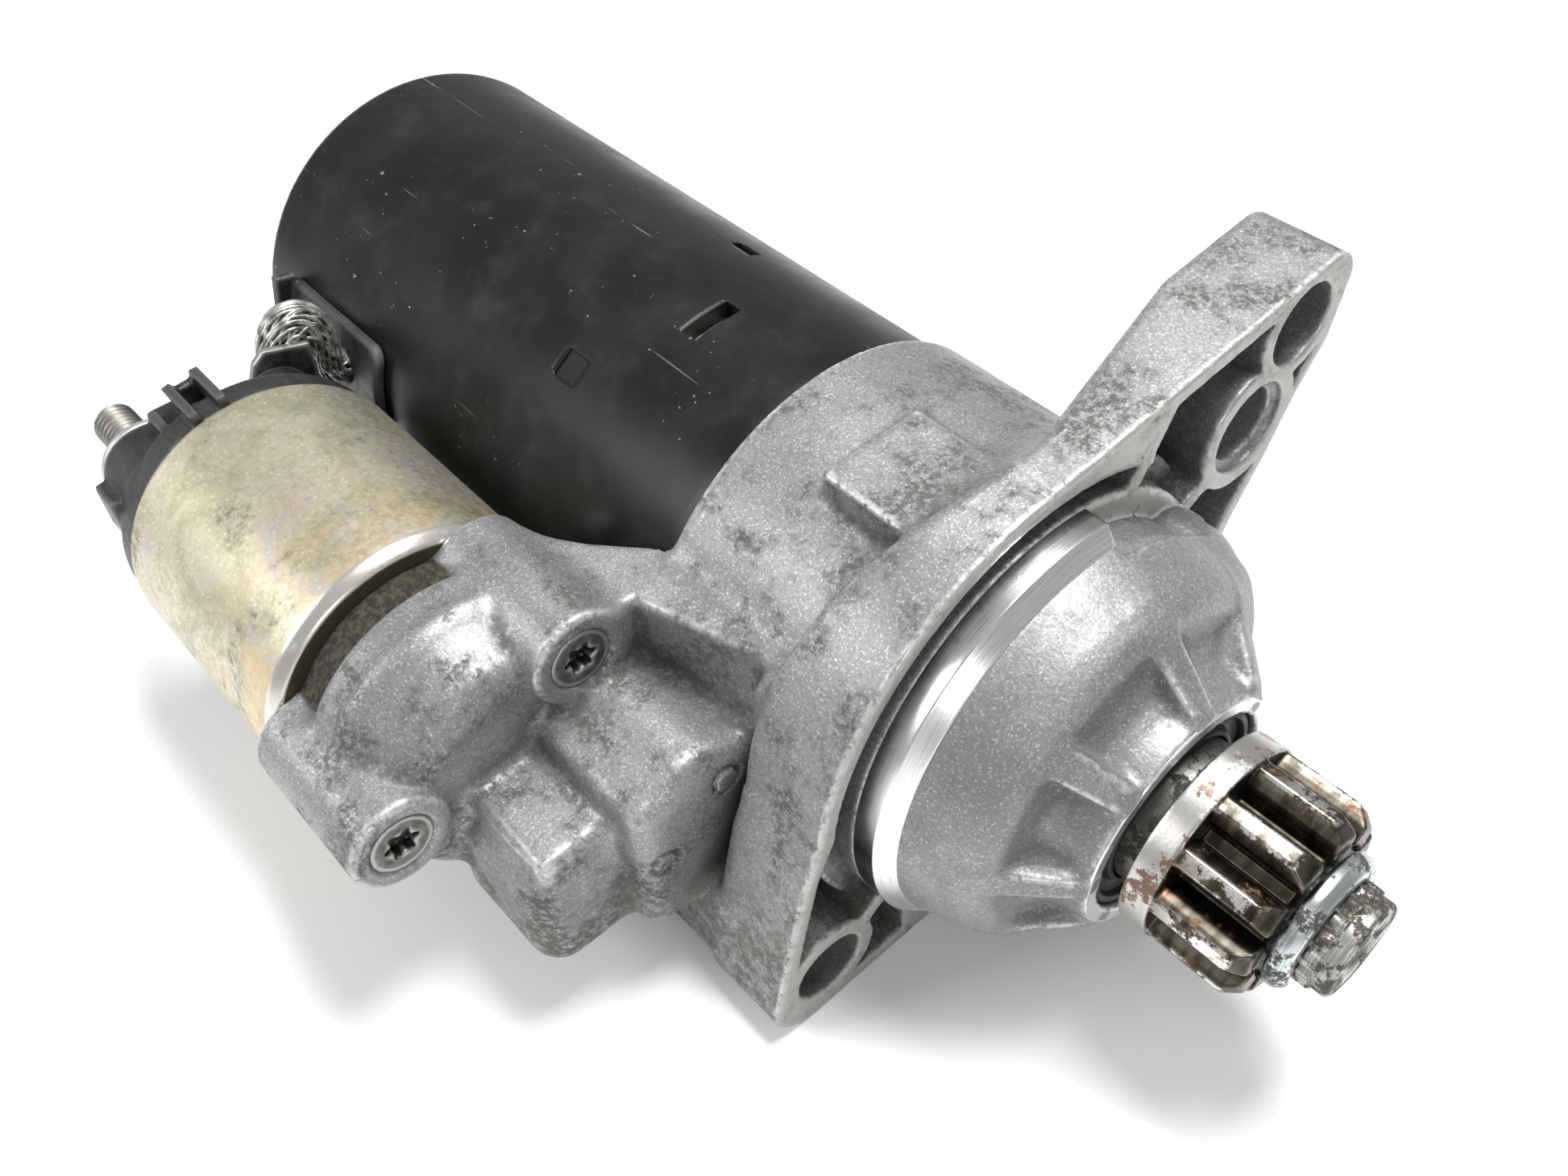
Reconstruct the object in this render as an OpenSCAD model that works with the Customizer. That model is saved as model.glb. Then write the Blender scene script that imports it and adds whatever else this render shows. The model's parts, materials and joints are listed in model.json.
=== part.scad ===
// Geared starter motor: a permanent-magnet motor, a planetary reduction, a sliding
// roller clutch with an outboard pinion, and a solenoid that shifts it with a fork lever.
// +X runs along the shaft towards the pinion, the origin is on the shaft axis in the plane
// of the machined mounting face, the solenoid lies on the -Y side and +Z is up.

/* [Motor] */
// Outside radius of the motor's steel yoke
yoke_r = 38; // [36:0.5:39]
// Wall of the yoke
yoke_wall = 3; // [2.5:0.1:3.2]
// Length of the yoke
yoke_len = 125.1; // [120:0.1:126]
// Distance from the mounting face back to the yoke's front edge
yoke_front = 46.4; // [46:0.1:47]

/* [Solenoid] */
// Outside radius of the solenoid's can
can_r = 26.5; // [25:0.5:27]
// Length of the can
can_len = 49.5; // [48:0.5:50]
// Gap between the yoke and the can
can_gap = 1.5; // [1.5:0.1:3]
// Angle of the first of the three fixing screws
screw_a = 51; // [45:1:57]

/* [Mounting] */
// Radius of the centring spigot
spigot_r = 38.3; // [37:0.1:38.5]
// Length of the spigot's straight wall in front of the mounting face
spigot_len = 3.9; // [3:0.1:5]
// Radius of the two flange bolt holes
bolt_r = 6.5; // [5:0.25:6.5]

/* [Pinion] */
// Number of teeth on the pinion
pinion_teeth = 11; // [9:1:12]
// Tip radius of the pinion
pinion_tip_r = 16.5; // [15:0.1:17]
// Axial travel of the clutch and pinion
travel = 14; // [10:1:14]

/* [Planetary gear] */
// Tooth module of the planetary gear
gear_m = 1.1; // [1.05:0.01:1.1]

/* [Hidden] */

$fn = 72;

// ---- places along the shaft ----
yoke_x0 = -yoke_front - yoke_len;
yoke_x1 = -yoke_front;
yoke_bore = yoke_r - yoke_wall;
inner_fit = 0.2;
fit_r = yoke_bore - inner_fit;
ear_depth = 17;
band_depth = 9;
rim_r = 45;
rim_wall = 3;
foot_z = -41.5;
sleeve_r = 39.4;
nose_x = 28.4;
nose_r = 20.5;
nose_bore = 17.7;
groove_end = -1.2;
nose_ribs = 8;
nose_rib_a = 41;

// ---- solenoid ----
can_y = -(yoke_r + can_gap + can_r);
can_x0 = -71.5 - can_len;
can_x1 = -71.5;
screw_ring = 21.3;
screw_face = -43;

// ---- flange holes and ears ----
hole_up = [47.5, 27];
hole_low = [-43.5, -30.5];
pocket_up = [56, 42.5];
pocket_depth = 12;

// ---- planetary gear ----
sun_z = 12;
planet_z = 18;
ring_z = 48;
gear_pa = 25;
gear_backlash = 0.12;
planet_ring = gear_m * (sun_z + planet_z) / 2;
gear_x0 = -69;
gear_x1 = -57.5;
pin_r = 3.5;

// ---- clutch and pinion ----
shaft_r = 8;
journal_r = 6;
race_r = 12.5;
groove_x = -45;
groove_w = 5;
driver_r = 10.5;
pinion_x0 = 31.2;
pinion_collar = 4.8;
collar_r = pinion_tip_r + 0.3;
pinion_x1 = 50.8;
shaft_x1 = 59.4;
pinion_m = 2.54;

// ---- lever ----
pivot = [-38, -40];
lever_rest = 10;
prong_z = 14.8;
prong_t = 3.2;

// ---- lead from the grommet over to the tab ----
lead_r = 3.4;
lead_a = 168;
lead_route = [[-139.5, -32.2, 6.8], [-139.5, -38.5, 8.2], [-139.6, -41.2, 9.9], [-139.8, -42.3, 13.2],
    [-140, -42.6, 17.4], [-140.1, -44.3, 20.9], [-140.1, -47.2, 21.4], [-140.1, -49.6, 19.2],
    [-140.1, -50.6, 16.6], [-140.1, -50.8, 14.6]];

// ======== helpers ========

// A flat (y, z) outline pushed along +X, starting at x
module yz(x, h) {
    translate([x, 0, 0])
        rotate([90, 0, 90])
            linear_extrude(height = h)
                children();
}

// A round bar along X from x0 to x1
module rod(x0, x1, r, y = 0, z = 0) {
    translate([x0, y, z])
        rotate([0, 90, 0])
            cylinder(r = r, h = x1 - x0);
}

// A cone along X
module taper(x0, x1, r0, r1, y = 0, z = 0) {
    translate([x0, y, z])
        rotate([0, 90, 0])
            cylinder(r1 = r0, r2 = r1, h = x1 - x0);
}

// A tube along X
module tube(x0, x1, r_out, r_in, y = 0, z = 0) {
    difference() {
        rod(x0, x1, r_out, y, z);
        rod(x0 - 1, x1 + 1, r_in, y, z);
    }
}

// A turned shape about the X axis from [x, r] points
module turned(points, y = 0, z = 0) {
    translate([0, y, z])
        rotate([0, 90, 0])
            rotate_extrude()
                polygon([for (p = points) [p[1], p[0]]]);
}

// A box given by its two corners
module block(a, b) {
    translate(a)
        cube(b - a);
}

function polar(r, a) = [r * cos(a), r * sin(a)];

// Involute function in degrees
function inv(a) = tan(a) * 180 / PI - a;

// Half angle of a tooth at radius r; grow widens the tooth at the pitch circle, in mm
function half_tooth(r, z, m, pa, grow) =
    let (rp = z * m / 2, rb = rp * cos(pa))
    90 / z + grow / rp * 90 / PI + inv(pa) - (r > rb ? inv(acos(rb / r)) : 0);

// Outline of a gear, or of a ring gear's opening when grow is positive
function gear_outline(z, m, pa, r_in, r_out, grow, turn, steps = 4) = [
    for (i = [0 : z - 1])
        each concat(
            [for (k = [0 : steps]) let (r = r_in + (r_out - r_in) * k / steps)
                polar(r, turn + i * 360 / z - half_tooth(r, z, m, pa, grow))],
            [for (k = [steps : -1 : 0]) let (r = r_in + (r_out - r_in) * k / steps)
                polar(r, turn + i * 360 / z + half_tooth(r, z, m, pa, grow))]
        )
];

// A helical spring along X
module coil_spring(x0, x1, r, wire, turns, sides = 6, steps = 14) {
    n = turns * steps;
    pts = [for (i = [0 : n], s = [0 : sides - 1])
        let (a = i * 360 / steps, b = s * 360 / sides,
             x = x0 + wire + (x1 - x0 - 2 * wire) * i / n, q = r + wire * cos(b))
        [x + wire * sin(b), q * cos(a), q * sin(a)]];
    walls = [for (i = [0 : n - 1], s = [0 : sides - 1])
        let (t = (s + 1) % sides)
        [i * sides + s, (i + 1) * sides + s, (i + 1) * sides + t, i * sides + t]];
    caps = [[for (s = [0 : sides - 1]) s],
        [for (s = [sides - 1 : -1 : 0]) n * sides + s]];
    polyhedron(points = pts, faces = concat(walls, caps), convexity = 8);
}

function unit(v) = v / norm(v);
function tangent(p, i) = unit(p[min(i + 1, len(p) - 1)] - p[max(i - 1, 0)]);

// A round tube swept along a list of points
module sweep(p, r, sides = 8) {
    up = [0, 0, 1];
    pts = [for (i = [0 : len(p) - 1], s = [0 : sides - 1])
        let (t = tangent(p, i), u = unit(cross(t, up)), w = cross(t, u), a = s * 360 / sides)
        p[i] + r * (cos(a) * u + sin(a) * w)];
    walls = [for (i = [0 : len(p) - 2], s = [0 : sides - 1], half = [0, 1])
        let (t = (s + 1) % sides, a = i * sides, b = (i + 1) * sides)
        half == 0 ? [a + s, b + s, b + t] : [a + s, b + t, a + t]];
    last = (len(p) - 1) * sides;
    caps = [[for (s = [0 : sides - 1]) s],
        [for (s = [sides - 1 : -1 : 0]) last + s]];
    polyhedron(points = pts, faces = concat(walls, caps), convexity = 4);
}

// Places its children on the three solenoid screw axes
module at_screws() {
    for (k = [0 : 2])
        translate([0, can_y + screw_ring * cos(screw_a + 120 * k), screw_ring * sin(screw_a + 120 * k)])
            children();
}

// ======== drive end housing ========

// Corner arc of an outline
function arc(c, r, a0, a1, n = 6) = [for (k = [0 : n]) c + polar(r, a0 + (a1 - a0) * k / n)];

// Outline of the upper ear; inset pulls every side in
module upper_ear(inset = 0) {
    polygon(concat(
        [[0, rim_r - inset]],
        [[45, 50.2 - inset]],
        arc([61.2, 46.2], 6 - inset, 80, 0),
        [[65.2 - inset, 35], [59.4 - inset, 26], [55.2 - inset, 16.5], [49.8 - inset, 7], [43.5 - inset, -8]],
        [[0, 0]]));
}

// Outline of the lower ear
module lower_ear(inset = 0) {
    polygon(concat(
        [[-rim_r + inset, 4]],
        [[-48 + inset, -3], [-51 + inset, -15]],
        arc([-47, -33.5], 8 - inset, 172, 270),
        [[16, foot_z + inset]],
        [[0, 0]]));
}

module flange_body() {
    difference() {
        union() {
            intersection() {
                rod(-band_depth, 0, rim_r);
                block([-band_depth - 1, -60, foot_z], [1, 60, 60]);
            }
            yz(-ear_depth, ear_depth) upper_ear();
            yz(-ear_depth, ear_depth) lower_ear();
        }
        // the band gets thinner from each ear towards the middle
        translate([0, 0, -60])
            linear_extrude(height = 120)
                polygon([[-ear_depth - 1, -38], [-ear_depth, -38], [-band_depth, -4],
                    [-band_depth, 6], [-ear_depth, 42], [-ear_depth - 1, 42]]);
    }
}

// Recesses in the front of the flange, between the rim, the bolt bosses and the ribs
module flange_pockets() {
    difference() {
        union() {
            intersection() {
                yz(-pocket_depth, pocket_depth + 1) upper_ear(rim_wall);
                block([-pocket_depth, 22, -60], [1, 80, 60]);
            }
            intersection() {
                yz(-pocket_depth, pocket_depth + 1) lower_ear(rim_wall);
                block([-pocket_depth, -60, -60], [1, -27, 60]);
            }
            rod(-5, 1, rim_r - rim_wall);
        }
        // wall of the spigot and the deep bosses stay
        rod(-ear_depth, -4.9, rim_r - rim_wall + 0.5);
        rod(-ear_depth, groove_end, spigot_r);
        rod(-ear_depth, 0, 11.2, hole_up[0], hole_up[1]);
        rod(-ear_depth, 0, 9.6, hole_low[0], hole_low[1]);
        difference() {
            rod(-ear_depth, 0, 9.6, pocket_up[0], pocket_up[1]);
            rod(-9, 1, 7, pocket_up[0], pocket_up[1]);
        }
        for (a = [29, 62])
            rotate([a, 0, 0])
                block([-ear_depth, 39, -1.5], [0, a < 60 ? 46 : 60, 1.5]);
        rotate([215, 0, 0])
            block([-ear_depth, 39, -1.5], [0, 52, 1.5]);
    }
}

// Outside of the nose: a shoulder, a narrower neck, and ribs between them
module nose_body() {
    turned([[-4, 0], [-4, 36], [spigot_len + 2, 36], [10, 34.6], [14.5, 33.4], [18.4, 31], [19.8, 25.4],
        [21.6, 23], [24, 21.8], [nose_x, nose_r], [nose_x, 0]]);
    for (k = [0 : nose_ribs - 1])
        rotate([nose_rib_a + 360 * k / nose_ribs, 0, 0])
            translate([0, 0, -1.8])
                linear_extrude(height = 3.6)
                    polygon([[12, 19], [12, 33.2], [17.8, 31.2], [21.5, 27.6], [24.2, 25], [nose_x - 0.4, 22],
                        [nose_x - 0.4, 19]]);
    // swelling beside the upper ear
    rod(-4, 9, 9.3, 25.5, 13);
    taper(9, 13, 9.3, 6.5, 25.5, 13);
}

module spigot() {
    difference() {
        turned([[-5, 30], [-5, spigot_r], [groove_end, spigot_r], [groove_end, spigot_r - 1.1],
            [0.1, spigot_r - 1.1], [0.1, spigot_r], [spigot_len, spigot_r],
            [spigot_len + 2.5, spigot_r - 2.4], [spigot_len + 2.5, 30]]);
        // the ring stops short beside the upper ear
        yz(-4, 13)
            polygon([[0, 0], polar(60, 34), polar(60, 57), polar(60, 80)]);
    }
}

// The casting behind the flange, round the gears, the lever and the solenoid's front
module case_outside() {
    rod(yoke_x1, -4, sleeve_r);
    taper(-15, -band_depth, sleeve_r, rim_r - 0.6);
    // flat pad on top
    block([-29, -17, 34], [-8, 2.5, 41.6]);
    // web between the sleeve and the solenoid hood
    translate([0, 0, -22])
        linear_extrude(height = 43.4)
            polygon([[-12, -10], [-44, -10], [-44, -27.5], [-51, -33.5], [-58, -39.5], [-66, -44.8],
                [-71, -48], [-71, -56], [-43.3, -56], [-43.3, -41.8], [-20, -34.8], [-12, -33.5]]);
    // hood over the front of the solenoid
    rod(can_x1, -60, 22.8, can_y);
    rod(-65, -57.9, 24.6, can_y);
    taper(-58, -46, 24.6, 19, can_y);
    at_screws() rod(can_x1, screw_face, 8.6);
    // bump in front of the plunger
    yz(-50, 23.4)
        polygon(concat(
            arc([-61.6, -6.6], 7, 0, 90),
            arc([-70.3, -6.6], 7, 90, 180),
            arc([-70.3, -20], 7, 180, 270),
            arc([-61.6, -20], 7, 270, 360)));
    // box over the lever
    block([-50, -64, -22], [-20, -34, 10.5]);
    rod(-47, -30, 11, -49, 3);
    taper(-30, -25, 11, 7, -49, 3);
    // foot rib from the lower ear back along the lever box
    block([-36, -53.5, -39], [-14, -44, -20]);
    block([-40, -46, -40], [-14, -20, -18]);
}

module case_inside() {
    rod(yoke_x1 - 5, yoke_x1 + 0.4, 31);
    turned([[yoke_x1 + 0.3, 0], [yoke_x1 + 0.3, 36], [-13, 36], [-7, 30], [5, 27], [11, 24],
        [11, 0]]);
    rod(10, nose_x + 1, nose_bore);
    // space for the fork, the lever's arm and the plunger
    block([-50.5, -35.2, -18.8], [-27, 0, 18.8]);
    block([-49.5, -50, -7.4], [-28, -35, 5]);
    block([-49.6, can_y, -7.5], [-28, -49, -0.9]);
    intersection() {
        rod(-50, -28.1, 7.6, can_y);
        block([-52, can_y - 20, -20], [-20, can_y + 20, -0.8]);
    }
    rod(can_x1 - 1, -47, 13, can_y);
    // lever pin
    translate([pivot[0], pivot[1], -25])
        cylinder(r = 3, h = 31.2);
    // solenoid screws with countersunk heads
    at_screws() {
        rod(can_x1 - 1, screw_face + 1, 2.75);
        taper(screw_face - 3, screw_face + 0.01, 2.75, 5.7);
    }
}

module drive_end_housing() {
    color("silver")
        difference() {
            union() {
                difference() {
                    union() {
                        flange_body();
                        case_outside();
                    }
                    flange_pockets();
                    // nothing reaches forward of the mounting face or below the foot
                    block([-70, -100, -60], [10, 80, foot_z]);
                    // seat of the yoke
                    rod(-90, yoke_x1, yoke_r + 0.8);
                }
                // ring that fits inside the yoke
                rod(yoke_x1 - 3.8, yoke_x1 + 1, fit_r);
                nose_body();
                spigot();
            }
            difference() {
                case_inside();
                for (k = [0 : 1])
                    rotate([bolt_a + 180 * k, 0, 0])
                        rod(yoke_x1 - 6, yoke_x1 + 10, 4.6, bolt_ring + 1, 0);
            }
            for (h = [hole_up, hole_low])
                rod(-60, 2, bolt_r, h[0], h[1]);
            rod(-1.5, 1, bolt_r + 1.5, hole_up[0], hole_up[1]);
            bolt_holes();
        }
}

// ======== motor ========

bolt_ring = 31.6;
bolt_a = 60;

// Through-bolt clearance holes
module bolt_holes() {
    for (k = [0 : 1])
        rotate([bolt_a + 180 * k, 0, 0])
            rod(yoke_x0, yoke_x1 + 8, 2.2, bolt_ring, 0);
}

module yoke() {
    color([0.08, 0.08, 0.08])
        difference() {
            tube(yoke_x0, yoke_x1, yoke_r, yoke_bore);
            // punched locking slots
            block([-71.2, -8, 30], [-67.8, 1.5, 40]);
            rotate([-25.6, 0, 0])
                block([-86.7, -1.2, 33], [-81.7, 1.2, 40]);
            // shallow staked mark
            rotate([36, 0, 0])
                block([-86, -2.5, yoke_r - 1], [-81, 2.5, yoke_r + 1]);
            // opening for the lead
            rotate([lead_a, 0, 0])
                block([-146, 30, -5], [-133, 40, 5]);
        }
}

module rear_cover() {
    color("dimgray")
        difference() {
            union() {
                rod(yoke_x0 + 0.6, yoke_x0 + 4.6, fit_r);
                rod(yoke_x0 + 4.5, yoke_x0 + 9.5, 11);
            }
            rod(yoke_x0 + 2.4, yoke_x0 + 20, 7);
            rod(yoke_x0 - 1, yoke_x0 + 20, 5.4);
            bolt_holes();
            for (k = [0 : 1])
                rotate([120 + 180 * k, 0, 0])
                    rod(yoke_x0 - 1, yoke_x0 + 8, 1.5, 9.2, 0);
        }
}

module rear_bush() {
    color("peru")
        tube(yoke_x0 + 2.5, yoke_x0 + 9.3, 7, 5.05);
}

module bearing_cap() {
    color("dimgray")
        difference() {
            rod(yoke_x0 - 1, yoke_x0 + 0.6, 12.5);
            for (k = [0 : 1])
                rotate([120 + 180 * k, 0, 0])
                    rod(yoke_x0 - 2, yoke_x0 + 8, 1.5, 9.2, 0);
        }
}

module cap_screws() {
    color("gray")
        for (k = [0 : 1])
            rotate([120 + 180 * k, 0, 0]) {
                rod(yoke_x0 - 2.6, yoke_x0 - 1, 2.8, 9.2, 0);
                rod(yoke_x0 - 1.1, yoke_x0 + 4.4, 1.5, 9.2, 0);
            }
}

module through_bolts() {
    color("gray")
        for (k = [0 : 1])
            rotate([bolt_a + 180 * k, 0, 0]) {
                difference() {
                    translate([yoke_x0 - 3.4, bolt_ring, 0])
                        rotate([0, 90, 0])
                            cylinder(r = 4.6, h = 4, $fn = 6);
                    rod(yoke_x0 - 4, yoke_x0 - 1.6, 2, bolt_ring, 0);
                }
                rod(yoke_x0 + 0.5, yoke_x1 + 7, 2.1, bolt_ring, 0);
            }
}

magnet_in = 29.3;

module magnets() {
    color([0.25, 0.25, 0.27])
        for (k = [0 : 5])
            rotate([60 * k + 6, 0, 0])
                translate([-132, 0, 0])
                    rotate([0, 90, 0])
                        rotate([0, 0, 90])
                            rotate_extrude(angle = 48)
                                translate([magnet_in, 0])
                                    square([fit_r - magnet_in, 50]);
}

core_x0 = -134;
core_x1 = -86;
core_r = 28.5;
core_slots = 16;

module armature_shaft() {
    color("silver")
        union() {
            rod(yoke_x0 + 2.6, -162, 5);
            rod(-162, -70.5, 6);
            rod(-70.5, -56.5, 4);
        }
}

module armature_core() {
    color([0.35, 0.35, 0.37])
        difference() {
            tube(core_x0, core_x1, core_r, 6);
            for (k = [0 : core_slots - 1])
                rotate([k * 360 / core_slots, 0, 0])
                    block([core_x0 - 1, 15, -1.8], [core_x1 + 1, core_r + 1, 1.8]);
        }
}

module armature_windings() {
    color([0.72, 0.36, 0.15]) {
        for (k = [0 : core_slots - 1])
            rotate([k * 360 / core_slots, 0, 0])
                block([core_x0 - 0.5, 15.4, -1.5], [core_x1 + 0.5, core_r - 1, 1.5]);
        difference() {
            union() {
                taper(core_x0 - 9.5, core_x0 - 0.1, 21, 27);
                taper(core_x1 + 0.1, core_x1 + 8.5, 27, 20);
            }
            rod(core_x0 - 10, core_x1 + 10, 13);
            rod(core_x0, core_x1, core_r);
        }
    }
}

commutator_r = 15;

module commutator() {
    color([0.75, 0.42, 0.2])
        difference() {
            union() {
                rod(-158.5, -145.5, commutator_r);
                rod(-146, -143.7, commutator_r + 2);
            }
            rod(-160, -140, 6);
            for (k = [0 : 21])
                rotate([k * 360 / 22, 0, 0])
                    block([-160, commutator_r - 1, -0.3], [-146, commutator_r + 1, 0.3]);
        }
}

brush_x0 = -157;
brush_x1 = -148;
brush_w = 7.6;

module brush_plate() {
    color([0.2, 0.17, 0.13])
        difference() {
            union() {
                tube(-161.3, -159.3, fit_r - 0.2, 17.5);
                for (k = [0 : 3])
                    rotate([45 + 90 * k, 0, 0])
                        block([-160, 17.8, -brush_w / 2 - 1.4],
                            [brush_x1 + 1.5, 33.5, brush_w / 2 + 1.4]);
            }
            for (k = [0 : 3])
                rotate([45 + 90 * k, 0, 0])
                    block([brush_x0 - 0.2, 14, -brush_w / 2 - 0.2],
                        [brush_x1 + 0.2, 32, brush_w / 2 + 0.2]);
            bolt_holes();
        }
}

module brushes() {
    color([0.15, 0.13, 0.12])
        for (k = [0 : 3])
            rotate([45 + 90 * k, 0, 0])
                block([brush_x0, commutator_r + 0.3, -brush_w / 2], [brush_x1, 26, brush_w / 2]);
}

module brush_springs() {
    color("silver")
        for (k = [0 : 3])
            rotate([45 + 90 * k, 0, 0])
                translate([(brush_x0 + brush_x1) / 2, 0, 0])
                    rotate([0, 0, 90])
                        coil_spring(26.1, 31.9, 2.6, 0.35, 4, 5, 10);
}

// ======== planetary gear ========

module sun_gear() {
    color("slategray")
        difference() {
            yz(gear_x0 - 1, gear_x1 - gear_x0 + 1)
                polygon(gear_outline(sun_z, gear_m, gear_pa, 5.5, 7.45, -gear_backlash, 0));
            rod(gear_x0 - 3, gear_x1 + 3, 4);
        }
}

module planet(k) {
    color([0.6, 0.6, 0.62])
        rotate([120 * k, 0, 0])
            translate([0, planet_ring, 0])
                yz(gear_x0, gear_x1 - gear_x0)
                    difference() {
                        polygon(gear_outline(planet_z, gear_m, gear_pa, 8.75, 10.75, -gear_backlash,
                            180 / planet_z));
                        circle(r = 5.05, $fn = 48);
                    }
}

module planet_gear_1() { planet(0); }
module planet_gear_2() { planet(1); }
module planet_gear_3() { planet(2); }

module planet_bushes() {
    color("peru")
        for (k = [0 : 2])
            rotate([120 * k, 0, 0])
                tube(gear_x0 + 0.2, gear_x1 - 0.2, 5, pin_r + 0.05, planet_ring, 0);
}

module ring_gear() {
    color([0.85, 0.83, 0.75])
        union() {
            yz(gear_x0 - 0.6, gear_x1 - gear_x0 + 0.6)
                difference() {
                    circle(r = fit_r, $fn = 96);
                    polygon(gear_outline(ring_z, gear_m, gear_pa, 25.55, 27.6, gear_backlash, 180 / ring_z));
                    for (k = [0 : 1])
                        translate(polar(bolt_ring, bolt_a + 180 * k))
                            circle(r = 2.4, $fn = 24);
                }
            yz(gear_x1, 4.2)
                difference() {
                    circle(r = fit_r, $fn = 96);
                    circle(r = 28.4, $fn = 96);
                    for (k = [0 : 1])
                        translate(polar(bolt_ring, bolt_a + 180 * k))
                            circle(r = 2.4, $fn = 24);
                }
        }
}

module cover_plate() {
    color("gray")
        difference() {
            tube(gear_x0 - 2.6, gear_x0 - 0.8, fit_r, 8.6);
            bolt_holes();
        }
}

module planet_carrier() {
    color([0.5, 0.5, 0.52])
        difference() {
            rod(-57, -53.8, 24);
            rod(-60, -50, shaft_r - 0.5);
            for (k = [0 : 2])
                rotate([120 * k, 0, 0])
                    rod(-60, -50, pin_r, planet_ring, 0);
        }
}

module planet_pins() {
    color("silver")
        for (k = [0 : 2])
            rotate([120 * k, 0, 0])
                rod(gear_x0 + 0.3, -53.9, pin_r, planet_ring, 0);
}

module support_plate() {
    color("gray")
        difference() {
            tube(-53, -50.4, fit_r, shaft_r + 0.05);
            bolt_holes();
        }
}

splines = 6;

module output_shaft() {
    color("silver")
        difference() {
            union() {
                rod(-56.9, -53.7, shaft_r - 0.5);
                rod(-53.7, -14, shaft_r);
                rod(-14, 14, journal_r);
                for (k = [0 : splines - 1])
                    rotate([k * 360 / splines, 0, 0])
                        block([-49.8, shaft_r - 1, -1.2], [-15, shaft_r + 0.8, 1.2]);
            }
            // pilot hole for the armature shaft
            rod(-58, -55.5, 4.3);
        }
}

// ======== clutch and pinion ========

module clutch_driver() {
    color([0.45, 0.45, 0.47])
        difference() {
            union() {
                rod(-49.6, -24, driver_r);
                rod(-49.6, groove_x - groove_w / 2, 14);
                rod(groove_x + groove_w / 2, groove_x + groove_w / 2 + 2.2, 14);
            }
            rod(-60, -20, shaft_r + 0.08);
            for (k = [0 : splines - 1])
                rotate([k * 360 / splines, 0, 0])
                    block([-60, shaft_r - 1, -1.5], [-20, shaft_r + 1.2, 1.5]);
        }
}

roller_ring = 15.1;

module clutch_shell() {
    color([0.4, 0.4, 0.42])
        difference() {
            rod(-28.5, -8, 22);
            rod(-30, -24, driver_r);
            rod(-24, -6, race_r + 0.4);
            rod(-23, -11, 17.5);
        }
}

module clutch_rollers() {
    color("silver")
        for (k = [0 : 5])
            rotate([60 * k, 0, 0])
                rod(-22.8, -11.2, 2.3, roller_ring, 0);
}

module clutch_cover() {
    color([0.3, 0.3, 0.32])
        difference() {
            rod(-8, -5.5, 22.8);
            rod(-9, -4, race_r + 0.4);
        }
}

module pinion_shaft() {
    color("silver")
        difference() {
            union() {
                rod(-23.6, pinion_x0, race_r);
                rod(pinion_x0 - 0.1, shaft_x1, shaft_r);
                // splines that show in front of the stop ring
                for (k = [0 : 15])
                    rotate([k * 22.5, 0, 0])
                        block([54.6, shaft_r - 1, -0.8], [56.8, shaft_r + 0.7, 0.8]);
            }
            // groove of the retaining ring
            tube(52.9, 54.3, shaft_r + 2, shaft_r - 0.6);
            rod(-30, -13, shaft_r + 1.2);
            rod(-14, 17, journal_r + 0.05);
            taper(shaft_x1 - 1.2, shaft_x1 + 0.1, 3, 4.2);
        }
}

module pinion() {
    color([0.55, 0.53, 0.5])
        difference() {
            union() {
                rod(pinion_x0, pinion_x0 + pinion_collar, collar_r);
                difference() {
                    yz(pinion_x0 + pinion_collar - 0.1, pinion_x1 - pinion_x0 - pinion_collar + 0.1)
                        polygon(gear_outline(pinion_teeth, pinion_m, 20, 11, pinion_tip_r, 0.8, 8, 5));
                    // bevel on the front ends of the teeth
                    difference() {
                        rod(pinion_x1 - 2, pinion_x1 + 1, 20);
                        taper(pinion_x1 - 2.1, pinion_x1 + 0.1, pinion_tip_r + 0.4, 14.2);
                    }
                }
            }
            rod(pinion_x0 - 1, pinion_x1 + 1, shaft_r + 0.02);
        }
}

module stop_ring() {
    color("gainsboro")
        difference() {
            turned([[51, 0], [51, 10.6], [51.5, 11.4], [53.2, 11.4], [54.5, 10.2], [54.5, 0]]);
            rod(50, 56, shaft_r + 0.02);
            rod(52.9, 54.3, 9.4);
        }
}

module retaining_ring() {
    color("dimgray")
        tube(53, 54.2, 9.3, 7.5);
}

module nose_bearing() {
    color("gray")
        tube(16, 23.5, nose_bore, race_r + 0.05);
}

module shaft_seal() {
    color([0.06, 0.06, 0.06])
        difference() {
            rod(24, 27.6, nose_bore);
            rod(20, 30, race_r + 0.35);
            // recess between the outer band and the lip
            tube(26, 30, 16.4, 13.8);
        }
}

// ======== lever ========

module lever_arm(a, b, r_a, r_b, z0, z1) {
    hull() {
        translate([a[0], a[1], z0])
            cylinder(r = r_a, h = z1 - z0, $fn = 32);
        translate([b[0], b[1], z0])
            cylinder(r = r_b, h = z1 - z0, $fn = 32);
    }
}

fork_tip = [groove_x, 0];
fork_root = [-39.6, -31];
plunger_pin = [-35.5, can_y];

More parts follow.
